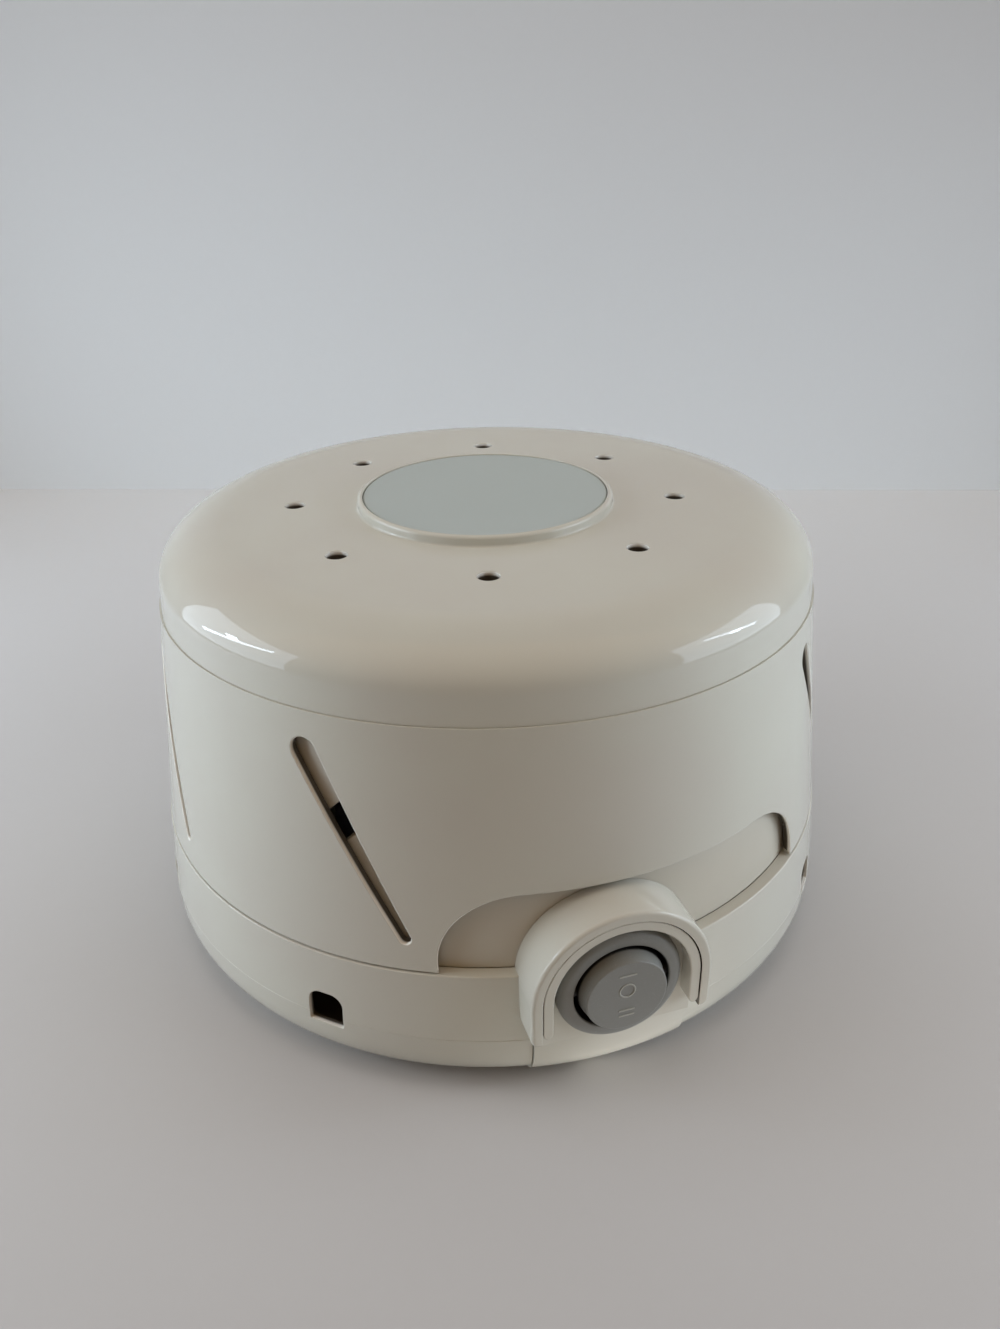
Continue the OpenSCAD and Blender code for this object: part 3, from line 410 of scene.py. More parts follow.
class Finish:
    """One node material, or with an owner the node tree of the world."""

    def __init__(self, name, owner=None):
        self.material = owner or bpy.data.materials.new(name)
        self.material.use_nodes = True
        self.tree = self.material.node_tree
        self.shader = self.tree.nodes["Background" if owner else "Principled BSDF"]
        self.place = self.node("TexCoord", out="Generated" if owner else "Object")

    def node(self, kind, values=None, out=0, **settings):
        """Adds a node with its settings, then the values or links of its sockets."""
        made = self.tree.nodes.new("ShaderNode" + kind)
        for name, value in settings.items():
            setattr(made, name, value)
        for name, value in (values or {}).items():
            if isinstance(value, Wire):
                self.tree.links.new(value.socket, made.inputs[name])
            else:
                made.inputs[name].default_value = value
        return Wire(self, made.outputs[out])

    def noise(self, scale, detail=3.0, roughness=0.5, stretch=None):
        """Cloudy pattern, 0 to 1, with features of about 1/scale metres."""
        place = self.place
        if stretch:
            place = self.node("Mapping", {"Vector": place, "Scale": stretch})
        sockets = {"Vector": place, "Scale": scale, "Detail": detail, "Roughness": roughness}
        return self.node("TexNoise", sockets)

    def split(self):
        """The three coordinates about the turning axis, in millimetres."""
        x, y, z = (self.node("SeparateXYZ", {"Vector": self.place}, out=axis) for axis in "XYZ")
        return x / MM, (y - AXIS_Y) / MM, z / MM

    def step_up(self, value, low, high):
        """Smooth step from 0 at low to 1 at high."""
        return self.node("MapRange", {"Value": value, "From Min": low, "From Max": high},
                         interpolation_type="SMOOTHSTEP")

    def mix(self, share, first, second):
        """Colour between two colours."""
        return self.node("Mix", {"Factor": share, "A": first, "B": second}, out="Result", data_type="RGBA")

    def surface(self, colour, roughness, bumps, metallic=0.0):
        """Feeds the shader; bumps are (height, how far it stands in metres, strength)."""
        normal = None
        for height, distance, strength in bumps:
            values = {"Height": height, "Distance": distance, "Strength": strength}
            if normal:
                values["Normal"] = normal
            normal = self.node("Bump", values)
        feeds = {"Base Color": colour, "Roughness": roughness, "Metallic": metallic, "Normal": normal}
        for name, value in feeds.items():
            if isinstance(value, Wire):
                self.tree.links.new(value.socket, self.shader.inputs[name])
            else:
                self.shader.inputs[name].default_value = value
        return self.material


def srgb(red, green, blue):
    """Linear colour from display values 0 to 255."""
    def linear(value):
        share = value / 255
        return share / 12.92 if share <= 0.04045 else ((share + 0.055) / 1.055) ** 2.4
    return (linear(red), linear(green), linear(blue), 1.0)


WHITE, OFF_WHITE = srgb(200, 199, 187), srgb(197, 194, 183)
# Painted highlight for the rims of openings, and painted shade for their walls
RIM_HIGHLIGHT, RECESS_SHADE = srgb(238, 236, 228), srgb(84, 79, 72)
# Painted shade for the rocker's pocket, and pale specks of the grain
POCKET_SHADE, SPECKLE = srgb(16, 16, 16), srgb(200, 205, 203)
# Depths below the skin, in millimetres, at which an opening's painted rim highlight and the painted
# shade on its wall set in, and how much faster that goes in a narrow gap
RIM_DEPTH, RECESS_SHADE_DEPTH, GAP_SHADE = (0.02, 0.08), (0.4, 0.9), 4
# Where depths are read: how near the collar's edges, how close to the arch of the panel and of the
# hood, how far past the vents and beside the cap's holes, and how far above the cap's top they start
EDGE_MARGIN, PANEL_SKIN, HOOD_SKIN, VENT_REACH, HOLE_BAND, CROWN_SKIN = 0.6, 0.06, 0.26, 0.3, 3, 0.02
# The base's inside, painted in shade: between which heights, how far past its inner radius, and the depth
# it counts as
INSIDE_Z, INSIDE_REACH, INSIDE_DEPTH = (4.5, 20.0), 0.5, 2.0
# The rocker's pocket: how far from the turning axis its painted shade starts and how fast it sets in,
# and the width of its edge
POCKET_FRONT, POCKET_FADE, POCKET_EDGE = FLANGE_FRONT - 0.2, 0.5, 0.15


def moulded(name, colour, shade, roughness, depth_at=None):
    """Polished moulded plastic: faint clouds of tone, a slow swell and a fine ripple in the gloss.
    A depth, in millimetres below the outer skin, gives openings a painted rim highlight and painted shade
    on their walls."""
    f = Finish(name)
    clouds = f.noise(28, detail=4)
    rub = f.noise(160, detail=5, roughness=0.6)
    tone = f.mix(f.step_up(clouds, 0.3, 0.7), colour, shade)
    if depth_at:
        depth = depth_at(f)
        # painted highlight along the rims of openings, then painted shade on their walls further in
        tone = f.mix(f.step_up(depth, *RIM_DEPTH), tone, RIM_HIGHLIGHT)
        tone = f.mix(f.step_up(depth, *RECESS_SHADE_DEPTH), tone, RECESS_SHADE)
    swell = (f.noise(70, detail=2), 0.00003, 0.1)
    ripple = (f.noise(2000, detail=2), 0.000002, 0.25)
    return f.surface(tone, roughness + (rub - 0.5) * 0.03, [swell, ripple])


def collar_depth(f):
    """Depth below the collar's outer face."""
    x, y, z = f.split()
    slope = (COLLAR_TOP[0] - COLLAR_BOTTOM[0]) / (COLLAR_TOP[1] - COLLAR_BOTTOM[1])
    face = (z - COLLAR_BOTTOM[1]) * slope + COLLAR_BOTTOM[0]
    below_top = z < COLLAR_TOP[1] - EDGE_MARGIN
    above_foot = z > COLLAR_BOTTOM[1] + EDGE_MARGIN
    return (face - (x * x + y * y) ** 0.5) * below_top * above_foot


def from_arch(x, z):
    """Distance from the switch's axis above it, and from its upright plane below it."""
    above = (z - SWITCH_Z).at_least(0.0)
    return (x * x + above * above) ** 0.5


def panel_depth(f):
    """Depth behind the switch front's face, on its outer side, in the narrow gap to the hood."""
    x, y, z = f.split()
    outside = (from_arch(x, z) > PANEL_R - PANEL_SKIN) * (z > PANEL_FOOT_Z)
    return (y + PANEL_FRONT) * GAP_SHADE * outside


def vent_depth(f):
    """Depth below the base's outer face at the height of its vents, in the hood's arch, and all of
    the base's inside."""
    x, y, z = f.split()
    radius = (x * x + y * y) ** 0.5
    slope = (BASE_R - BASE_TOP_R) / (BASE_TOP_Z - PARTING_Z)
    face = BASE_R - (z - PARTING_Z).at_least(0.0) * slope
    at_vents = (z > VENT_Z - VENT_REACH) * (z < VENT_Z + VENT_H + VENT_REACH)
    inside = (z > INSIDE_Z[0]) * (z < INSIDE_Z[1]) * (radius < BASE_INNER_R + INSIDE_REACH)
    in_arch = (from_arch(x, z) < PANEL_R + HOOD_SKIN) * (y < -PANEL_BACK) * (z > HOOD_FOOT_Z)
    in_hood = (y + HOOD_FRONT) * GAP_SHADE * in_arch
    # the base's inside counts as deep all over, so it is painted in shade
    return (face - PARTING_DEPTH - radius) * at_vents * (1 - in_arch) + in_hood + inside * INSIDE_DEPTH


def hole_depth(f):
    """Depth below the cap's top face, where its holes are."""
    x, y, z = f.split()
    radius = (x * x + y * y) ** 0.5
    outside = radius > HOLE_CIRCLE - HOLE_BAND
    inside = radius < HOLE_CIRCLE + HOLE_BAND
    return (CAP_TOP_Z + CROWN_SKIN - z) * outside * inside


def satin(name, colour, shade, roughness, grain=2600, depth=0.00001, pocket_shade_from=None):
    """Satin plastic with a fine, even spark-eroded grain. Inside the rocker's hole, shade is painted dark
    behind a distance in front of the turning axis."""
    f = Finish(name)
    fine = f.noise(grain, roughness=0.6)
    tone = f.mix(f.noise(35, detail=4), colour, shade)
    if pocket_shade_from:
        x, y, z = f.split()
        off_axis = (x * x + (z - SWITCH_Z) ** 2) ** 0.5
        behind = f.step_up(y, -pocket_shade_from, POCKET_FADE - pocket_shade_from)
        behind = behind * f.step_up(off_axis, ROCKER_HOLE + POCKET_EDGE, ROCKER_HOLE)
        # painted shade inside the rocker's hole
        tone = f.mix(behind, tone, POCKET_SHADE)
    speckled = f.mix(f.step_up(fine, 0.55, 0.8) * 0.12, tone, SPECKLE)
    return f.surface(speckled, roughness + (fine - 0.5) * 0.12, [(fine, depth, 0.8)])


def rubbery(name):
    """Matt black rubber with a dusty bloom."""
    f = Finish(name)
    bloom = f.noise(220, detail=6, roughness=0.65)
    return f.surface(f.mix(bloom, srgb(22, 22, 23), srgb(52, 51, 50)), 0.75 + (bloom - 0.5) * 0.2,
                     [(f.noise(1800), 0.00002, 0.7)])


def plated(name, colour, shade, roughness=0.35):
    """Zinc-plated or cut metal, with fine drawn lines."""
    f = Finish(name)
    lines = f.noise(900, detail=4, roughness=0.6, stretch=(1, 1, 0.08))
    return f.surface(f.mix(lines, colour, shade), roughness + (lines - 0.5) * 0.25,
                     [(lines, 0.00001, 0.4)], metallic=1.0)


def stacked(name, pitch):
    """Stack of thin blued sheets, a pitch in metres apart."""
    f = Finish(name)
    height = f.node("SeparateXYZ", {"Vector": f.place}, out="Z")
    seam = f.step_up((height / pitch).pingpong(0.5), 0.1, 0.3)
    rust = f.noise(300, detail=5)
    return f.surface(f.mix(seam, srgb(40, 42, 46), f.mix(rust, srgb(105, 108, 116), srgb(88, 84, 84))),
                     0.45 + (rust - 0.5) * 0.2, [(seam, 0.0001, 0.8)], metallic=0.9)


def wound(name, turns):
    """Winding of enamelled copper wire with a number of turns in a metre along X."""
    f = Finish(name)
    across = f.node("SeparateXYZ", {"Vector": f.place}, out="X")
    turn = (across * (2 * turns)).pingpong(1.0)
    tint = f.noise(500)
    return f.surface(f.mix(tint, srgb(176, 98, 52), srgb(146, 70, 36)), 0.3 + turn * 0.2,
                     [(turn, 0.0001, 0.9)], metallic=0.85)


def plain(name, colour, shade, roughness=0.5):
    """Plain inner plastic, vinyl or tape, with a soft unevenness."""
    f = Finish(name)
    clouds = f.noise(400, detail=4, roughness=0.6)
    return f.surface(f.mix(clouds, colour, shade), roughness + (clouds - 0.5) * 0.15,
                     [(f.noise(1500, detail=2), 0.00002, 0.5)])


SHELL = moulded("warm white shell", WHITE, OFF_WHITE, 0.035)
PANEL_SHELL = moulded("warm white panel", WHITE, OFF_WHITE, 0.035, panel_depth)
BASE_SHELL = moulded("warm white base", WHITE, OFF_WHITE, 0.035, vent_depth)
COLLAR_SHELL = moulded("warm white collar", WHITE, OFF_WHITE, 0.035, collar_depth)
CAP_SHELL = moulded("warm white cap", WHITE, OFF_WHITE, 0.018, hole_depth)
DRUM = moulded("warm white drum", srgb(196, 191, 178), srgb(191, 186, 172), 0.22)
DISC = satin("grey green disc", srgb(178, 187, 184), srgb(172, 182, 179), 0.5)
SWITCH = satin("grey switch", srgb(131, 132, 128), srgb(124, 125, 121), 0.42, grain=3200, depth=0.000006,
               pocket_shade_from=POCKET_FRONT)
MARK = satin("pale mark", srgb(168, 169, 162), srgb(160, 161, 154), 0.5)
RUBBER = rubbery("black rubber")
STEEL = plated("zinc plate", srgb(196, 197, 200), srgb(168, 168, 172))
BRONZE = plated("bronze", srgb(176, 138, 84), srgb(150, 112, 64), 0.4)
COPPER_BAR = plated("bare copper", srgb(184, 112, 76), srgb(158, 88, 56))
STACK = stacked("blued sheets", 0.0005)
WINDING = wound("enamelled wire", 2000)
NYLON = plain("natural nylon", srgb(222, 220, 208), srgb(212, 208, 194))
TAPE = plain("yellow tape", srgb(205, 172, 70), srgb(190, 156, 58))
FAN = plain("white fan", srgb(226, 226, 220), srgb(218, 217, 209), 0.4)
RED_SLEEVE = plain("red sleeve", srgb(168, 42, 38), srgb(150, 34, 32), 0.4)
LEADS = {
    "lead_supply": plain("black vinyl", srgb(28, 28, 29), srgb(38, 38, 38), 0.4),
    "lead_return": plain("white vinyl", srgb(214, 213, 208), srgb(204, 203, 196), 0.4),
    "lead_fast": plain("red vinyl", srgb(168, 32, 28), srgb(152, 28, 25), 0.4),
    "lead_slow": plain("blue vinyl", srgb(38, 66, 150), srgb(32, 58, 136), 0.4),
}


# ---- base ----

def base_outline():
    """Section through the base's wall, from the plate's seat out and round to its lip."""
    round_at = (BASE_R - BASE_ROUND, UNDERSIDE_Z + BASE_ROUND)
    inner_round = BASE_INNER_R - round_at[0]
    lip_angle = -math.degrees(math.asin((round_at[1] - LIP_Z[1]) / inner_round))
    outer = soften([(PLATE_SEAT_R, UNDERSIDE_Z, 0.3), (BASE_R, UNDERSIDE_Z, BASE_ROUND),
                    (BASE_R, PARTING_Z - 2 * PARTING_DEPTH, 0),
                    (BASE_R - PARTING_DEPTH, PARTING_Z - PARTING_DEPTH, 0), (BASE_R, PARTING_Z, 0),
                    (BASE_TOP_R, BASE_TOP_Z, 0.3), (BASE_TOP_R - BASE_WALL, BASE_TOP_Z, 0.3)], step=5)
    return (outer + [(BASE_INNER_R, PARTING_Z)] + arc(round_at, inner_round, inner_round, 0, lip_angle, 8)
            + [(LIP_R, LIP_Z[1]), (LIP_R, LIP_Z[0]), (PLATE_SEAT_R, LIP_Z[0])])


def make_base():
    """Round tray with the switch hood standing out of its front."""
    hood = pushed(arch(HOOD_R, HOOD_FOOT_Z, HOOD_CORNER),
                  [(HOOD_ROOT, 0.0)] + eased(HOOD_FRONT, HOOD_EDGE, 6))
    inside = lathe([(0, UNDER), (BASE_INNER_R, UNDER), (BASE_INNER_R, PARTING_Z),
                    (BASE_TOP_R - BASE_WALL, BASE_TOP_Z), (drum_r(BASE_TOP_Z) + PLAY, BASE_TOP_Z + PLAY),
                    (drum_r(SHOULDER_Z) + PLAY, SHOULDER_Z), (0, SHOULDER_Z)], closed=False)
    arched = thing("hood", hood)
    carve(arched, "DIFFERENCE", inside)
    base = thing("base_tray", lathe(divided(base_outline())))
    carve(base, "UNION", melted(arched))
    front = [(HOOD_FRONT + height, grow) for height, grow in rim(HOOD_RIM)]
    opening = pushed(arch(HOOD_R - HOOD_WALL, FAR_UNDER),
                     [(PLATE_SEAT_R + HOOD_OPENING_BACK, 0.0)] + front)
    half, vent_top = VENT_W / 2, VENT_Z + VENT_H
    vent = divided(soften([(-half, VENT_Z, VENT_FOOT), (half, VENT_Z, VENT_FOOT),
                           (half, vent_top, VENT_CORNER), (-half, vent_top, VENT_CORNER)]))
    vents = [turned(pressed(vent, base_r, flare(VENT_DEPTH, VENT_RIM)), a) for a in VENT_AZIMUTHS]
    pocket = [(BASE_INNER_R - 1, VENT_MARGIN), (BASE_R - VENT_WALL, VENT_MARGIN)]
    pockets = [turned(pushed(vent, pocket), a) for a in VENT_AZIMUTHS]
    cord_hole = rod(GLAND_HOLE, GLAND_CUT, (0, BASE_R, GLAND_Z), "X", 48)
    carve(base, "DIFFERENCE", opening, cord_hole, *pockets)
    carve(base, "DIFFERENCE", *vents)
    finished(base, "base", "shell", BASE_SHELL, "base_shell")


def make_gland():
    """Flanged bush that guides the cord through the base's rear wall."""
    outline = soften([(GLAND_BORE, GLAND_FRONT, 0.4), (GLAND_FLANGE, GLAND_FRONT, 0.2),
                      (GLAND_FLANGE, GLAND_INNER, 0), (GLAND_HOLE - GLAND_PLAY, GLAND_INNER, 0),
                      (GLAND_HOLE - GLAND_PLAY, BASE_R, 0), (GLAND_FLANGE, BASE_R, 0),
                      (GLAND_FLANGE, GLAND_BACK, 0.5), (GLAND_BORE, GLAND_BACK, 0.4)])
    bm = lathe(outline, sides=96)
    bm.transform(Matrix.Translation((0, 0, GLAND_Z)) @ Matrix.Rotation(math.radians(-90), 4, "X"))
    finished(thing("cord_bush", bm), "base", "shell", SHELL, "cord_gland")


# ---- switch ----

def make_panel():
    """Arched front with a raised rim and an apron that follows the base down to its lower edge."""
    front = pushed(arch(PANEL_R, PANEL_FOOT_Z, PANEL_CORNER),
                   [(PANEL_BACK, 0.0)] + eased(PANEL_FRONT, PANEL_EDGE))
    panel = thing("switch_front", front)
    plate = pushed(arch(PANEL_R, PARTING_Z), [(PANEL_BACK, 0.0), (PANEL_FACE, 0.0)])
    carve(panel, "UNION", plate)
    foot_at = (PANEL_RING + FOOT_ROUND, PANEL_FOOT_Z + FOOT_ROUND)
    foot_arc = arc(foot_at, FOOT_ROUND, FOOT_ROUND, -100, -180, 6)
    right_side = [(PANEL_RING + FOOT_ROUND, 0)] + foot_arc
    left_side = [(-x, z) for x, z in reversed(right_side)]
    opening = right_side + arc((0, SWITCH_Z), PANEL_RING, PANEL_RING, 0, 180, 48) + left_side
    mouth = [(PANEL_FRONT + height, grow) for height, grow in rim(PANEL_RIM)]
    carve(panel, "DIFFERENCE", pushed(opening, [(PANEL_FACE, 0.0)] + mouth))
    round_at, skin_r = (BASE_R - BASE_ROUND, UNDERSIDE_Z + BASE_ROUND), BASE_ROUND + APRON_PROUD
    back_r = PANEL_BACK - round_at[0]
    section = (arc(round_at, skin_r, skin_r, -APRON_SWEEP, 0, 20)
               + [(BASE_R + APRON_PROUD, APRON_TOP_Z), (PANEL_BACK, APRON_TOP_Z)]
               + arc(round_at, back_r, back_r, 0, -APRON_SWEEP, 12))
    apron = thing("apron", lathe(divided(section)))
    keep = bmesh.new()
    bmesh.ops.create_cube(keep, size=1.0)
    low = Vector((-PANEL_R, -OUTSIDE, UNDERSIDE_Z))
    high = Vector((PANEL_R, -PLATE_SEAT_R - APRON_BACK, APRON_TOP_Z - PLAY))
    keep.transform(Matrix.Translation((low + high) / 2) @ Matrix.Diagonal((*(high - low), 1)))
    carve(apron, "INTERSECT", keep)
    carve(panel, "UNION", melted(apron))
    bore_r = BARREL_R + PLAY
    barrel = facing_front(lathe([(0, 0), (bore_r, 0), (bore_r, OUTSIDE), (0, OUTSIDE)],
                                sides=96, closed=False))
    carve(panel, "DIFFERENCE", barrel)
    finished(panel, "base", "shell", PANEL_SHELL, "switch_panel")


def make_bezel():
    """Grey switch body: a flange on the panel, a round hole for the rocker and the barrel behind."""
    outline = soften([(0, BARREL_BACK, 0), (BARREL_R, BARREL_BACK, 0.5), (BARREL_R, PANEL_FACE, 0),
                      (FLANGE_R, PANEL_FACE, 0), (FLANGE_R, FLANGE_FRONT, 1.6),
                      (ROCKER_HOLE, FLANGE_FRONT, 0.3), (ROCKER_HOLE, POCKET_BACK, 0),
                      (0, POCKET_BACK, 0)], closed=False)
    bm = facing_front(lathe(divided(outline, closed=False), sides=160, closed=False))
    finished(thing("switch_bezel", bm), "base", "switch_grey", SWITCH, "switch_housing")


def make_rocker():
    """Round rocker with a flat face, and its three pale position marks."""
    face = ROCKER_FACE - ROCKER_PIVOT
    ball = arc((0, 0), ROCKER_BALL, ROCKER_BALL, *BALL_SWEEP, 16)
    top = soften([ball[-1] + (0,), (ROCKER_FACE_R, face, 0.3), (0, face - ROCKER_DISH, 0)], closed=False)
    outline = [(0, ball[0][1])] + ball + top[1:]
    body = facing_front(lathe(outline, sides=128, closed=False), ROCKER_PIVOT)
    pin = rod(PIN_R, PIN_LENGTH, (0, -ROCKER_PIVOT, SWITCH_Z), "Y", 32)
    finished(thing("round_rocker", body, pin), "rocker", "switch_grey", SWITCH, "rocker")
    sunk, proud = ROCKER_FACE - MARK_SUNK, ROCKER_FACE + MARK_PROUD
    marks = []
    for height, length in MARK_BARS:
        half = length / 2
        low, high = SWITCH_Z + height - MARK_STROKE / 2, SWITCH_Z + height + MARK_STROKE / 2
        bar = soften([(-half, low, 0.1), (half, low, 0.1), (half, high, 0.1), (-half, high, 0.1)])
        marks.append(pushed(bar, [(sunk, 0.0), (proud, 0.0)]))
    inner_r = MARK_RING_R - MARK_STROKE
    ring = soften([(inner_r, 0, 0), (MARK_RING_R, 0, 0), (MARK_RING_R, proud - sunk, 0.08),
                   (inner_r, proud - sunk, 0.08)])
    nought = facing_front(lathe(ring, sides=64), sunk)
    bmesh.ops.translate(nought, verts=nought.verts, vec=(0, 0, MARK_RING_Z))
    finished(thing("rocker_marks", nought, *marks), "rocker", "switch_grey", MARK)


# ---- drum, collar and cap ----

def at_holes(make):
    """Cutters at the places of the cap's holes; make gives a new one each time."""
    return [turned(make(), HOLE_AZIMUTH + 360 / HOLES * k) for k in range(HOLES)]


def at_slots(make, azimuth):
    """Cutters round the wall, at every place but the switch's; make gives a new one each time."""
    return [turned(make(), azimuth + 360 / PLACES * k) for k in range(2, PLACES + 1)]


def make_drum():
    """Inner drum of the same plastic, with slanted windows behind the collar's slots, and air slots
    under the cap's holes and a stop slot in its deck."""
    inner_r = NECK_R - DRUM_WALL
    under_z = SHOULDER_Z - DRUM_WALL
    pivot_r, boss_z = PIVOT_R + PIVOT_PLAY, PIVOT_Z + PIVOT_FLOOR
    outline = ([(SPIGOT_R - DRUM_WALL, SPIGOT_Z), (SPIGOT_R, SPIGOT_Z), (SPIGOT_R, DRUM_SEAT_Z),
                (drum_r(DRUM_SEAT_Z), DRUM_SEAT_Z), (drum_r(SHOULDER_Z), SHOULDER_Z), (NECK_R, SHOULDER_Z)]
               + arc(EDGE_CENTRE, NECK_R - EDGE_CENTRE[0], DECK_Z[1] - EDGE_CENTRE[1], 0, 90, 12)
               + [(pivot_r, DECK_Z[1]), (pivot_r, boss_z), (BOSS_R, boss_z), (BOSS_R, DECK_Z[0])]
               + arc(EDGE_CENTRE, inner_r - EDGE_CENTRE[0], DECK_Z[0] - EDGE_CENTRE[1], 90, 0, 12)
               + [(inner_r, under_z), (drum_r(under_z) - DRUM_WALL, under_z),
                  (SPIGOT_R - DRUM_WALL, BASE_TOP_Z)])
    drum = thing("slotted_drum", lathe(divided(outline)))
    window = teardrop((-WINDOW_HALF, WINDOW_Z - WINDOW_HALF, WINDOW_R[0]),
                      (WINDOW_HALF, WINDOW_Z + WINDOW_HALF, WINDOW_R[1]))
    windows = at_slots(lambda: pressed(window, drum_r, flare(WALL_CUT, WINDOW_RIM)), WINDOW_AZIMUTH)
    notch = pushed(arch(NOTCH_R, NOTCH_FOOT_Z), [(reach, 0.0) for reach in NOTCH_REACH])
    through = [(PIVOT_Z, 0.0), (CAP_TOP_Z, 0.0)]
    air_slot = sector(HOLE_CIRCLE - AIR_SLOT_HALF_W, HOLE_CIRCLE + AIR_SLOT_HALF_W, AIR_SLOT_HALF)
    air_slots = at_holes(lambda: raised(air_slot, through))
    stop_slot = turned(raised(sector(*STOP_SLOT, 16), through), 90)
    carve(drum, "DIFFERENCE", notch, stop_slot, *air_slots, *windows)
    finished(drum, "base", "drum", DRUM, "sound_housing")


def make_collar():
    """Tapered ring with teardrop slots and the cut-out round the switch hood."""
    (bottom_r, bottom_z), (top_r, top_z) = COLLAR_BOTTOM, COLLAR_TOP
    inner_top_r = collar_r(COLLAR_LIP_Z) - COLLAR_WALL
    outline = soften([(bottom_r, bottom_z, 0.2), (top_r, top_z, 0.05), (COLLAR_LIP_R, top_z, 0.3),
                      (COLLAR_LIP_R, COLLAR_LIP_Z, 0.2), (inner_top_r, COLLAR_LIP_Z, 0),
                      (bottom_r - COLLAR_WALL, bottom_z, 0.25)])
    collar = thing("turning_collar", lathe(divided(outline)))
    slot = teardrop(SLOT_TOP, SLOT_BOTTOM)
    slots = at_slots(lambda: pressed(slot, collar_r, flare(WALL_CUT, SLOT_RIM)), SLOT_AZIMUTH)
    cutout = divided(soften([(-CUTOUT_HALF, CUTOUT_FOOT, 0), (CUTOUT_HALF, CUTOUT_FOOT, 0),
                             (CUTOUT_HALF, CUTOUT_TOP, CUTOUT_CORNER),
                             (-CUTOUT_HALF, CUTOUT_TOP, CUTOUT_CORNER)], step=4))
    opening = turned(pressed(cutout, collar_r, flare(WALL_CUT, CUTOUT_RIM)), CUTOUT_AZIMUTH)
    carve(collar, "DIFFERENCE", opening, *slots)
    finished(collar, "collar", "shell", COLLAR_SHELL, "tone_collar")


def make_cap():
    """Cap with a round-over edge, eight air holes and a low ring round its disc."""
    rx, ry = CAP_SIDE_R - EDGE_CENTRE[0], CAP_TOP_Z - EDGE_CENTRE[1]
    crown_z, well_r = CAP_TOP_Z + CROWN_RISE, DISC_R + DISC_GAP
    skirt = soften([(CAP_SKIRT_R - CAP_WALL - 0.3, CAP_BOTTOM_Z, 0.2), (CAP_SKIRT_R, CAP_BOTTOM_Z, 0.05),
                    (CAP_SIDE_R, EDGE_CENTRE[1], 0)], closed=False)
    edge = arc(EDGE_CENTRE, rx, ry, 0, 90, 26)
    ring = soften([(EDGE_CENTRE[0], CAP_TOP_Z, 0), (RING_R, crown_z, 0.5), (RING_R, RING_TOP_Z, 0.7),
                   (well_r, RING_TOP_Z, 0.25), (well_r, DISC_SEAT_Z, 0), (0, DISC_SEAT_Z, 0)],
                  closed=False)
    outside = skirt[:-1] + edge[:-1] + ring
    underside = ([(0, PIVOT_Z), (PIVOT_R, PIVOT_Z), (PIVOT_R, CAP_UNDER_Z)]
                 + arc(EDGE_CENTRE, rx - CAP_WALL, CAP_UNDER_Z - EDGE_CENTRE[1], 90, 0, 18))
    cap = thing("turning_cap", lathe(divided(outside, closed=False) + divided(underside, closed=False)))
    hole = arc((0, -HOLE_CIRCLE), HOLE_R, HOLE_R, 0, 360, 40)[:-1]
    levels = [(height + crown_z - CROWN_RISE / 2, grow) for height, grow in flare(HOLE_DEPTH, HOLE_RIM)]
    carve(cap, "DIFFERENCE", *at_holes(lambda: raised(hole, levels)))
    finished(cap, "cap", "shell", CAP_SHELL, "tone_cap")


def make_disc():
    """Bare satin disc set into the cap's ring."""
    outline = soften([(0, DISC_SEAT_Z, 0), (DISC_R, DISC_SEAT_Z, 0), (DISC_R, DISC_TOP_Z, 0.3),
                      (0, DISC_TOP_Z, 0)], closed=False)
    disc = thing("satin_disc", lathe(divided(outline, closed=False), sides=192, closed=False))
    finished(disc, "cap", "disc", DISC, "cap_disc")


# ---- carried-over parts ----

def dress(material, *names):
    """Gives carried-over parts their material."""
    for name in names:
        mesh = nodes[name].data
        mesh.materials.clear()
        mesh.materials.append(material)


def dress_inner_parts():
    """Finishes of the bottom plate, feet, fasteners, motor, fan and wiring."""
    dress(SHELL, "bottom_plate")
    dress(RUBBER, "rubber_feet", "rubber_isolators")
    dress(STEEL, "bottom_screws", "drum_screws", "motor_cradle", "cradle_screws", "lower_bracket",
          "upper_bracket", "motor_bolts", "motor_nuts", "motor_shaft", "fan_clip", "cap_washer",
          "cap_screw")
    dress(BRONZE, "switch_terminals", "terminal_screws", "lower_bearing", "upper_bearing",
          "thrust_washers")
    dress(COPPER_BAR, "shading_rings")
    dress(STACK, "lamination_stack", "rotor")
    dress(WINDING, "coil_winding")
    dress(NYLON, "terminal_block", "coil_bobbin", "thermal_fuse")
    dress(TAPE, "coil_tape")
    dress(FAN, "fan_wheel")
    dress(RED_SLEEVE, "crimp_sleeves")
    for name, material in LEADS.items():
        dress(material, name)


# ---- floor, backdrop, lights and camera ----

def at(x, y, z):
    """Place in metres from millimetres about the turning axis."""
    return Vector((x * MM, y * MM + AXIS_Y, z * MM))


# Camera: its place and aim, its roll in degrees, lens and sensor, and the nearest that it sees
CAMERA_AT, CAMERA_AIM = (-59.34, -200.41, 161.3), (2.28, -0.71, 49.8)
CAMERA_ROLL, CAMERA_LENS, CAMERA_SENSOR, CAMERA_NEAR = -1.08, 29.0, 36.0, 10
# Room: its turn in degrees, and the distance, width, depth and height of its sheets of paper
ROOM_TURN, WALL_BACK = 20.6, 264.3
PAPER_WIDTH, TABLE_DEPTH, WALL_HEIGHT = 4000, 3000, 2400
# Where the lit part of the room fades into the surroundings
LIT_BESIDE, LIT_AHEAD, LIT_HEIGHT = (265, 345), (-190, -420), (225, 330)
SURROUNDINGS = srgb(190, 191, 193)
FIBRE, PAPER_ROUGHNESS = srgb(120, 120, 118), 0.75


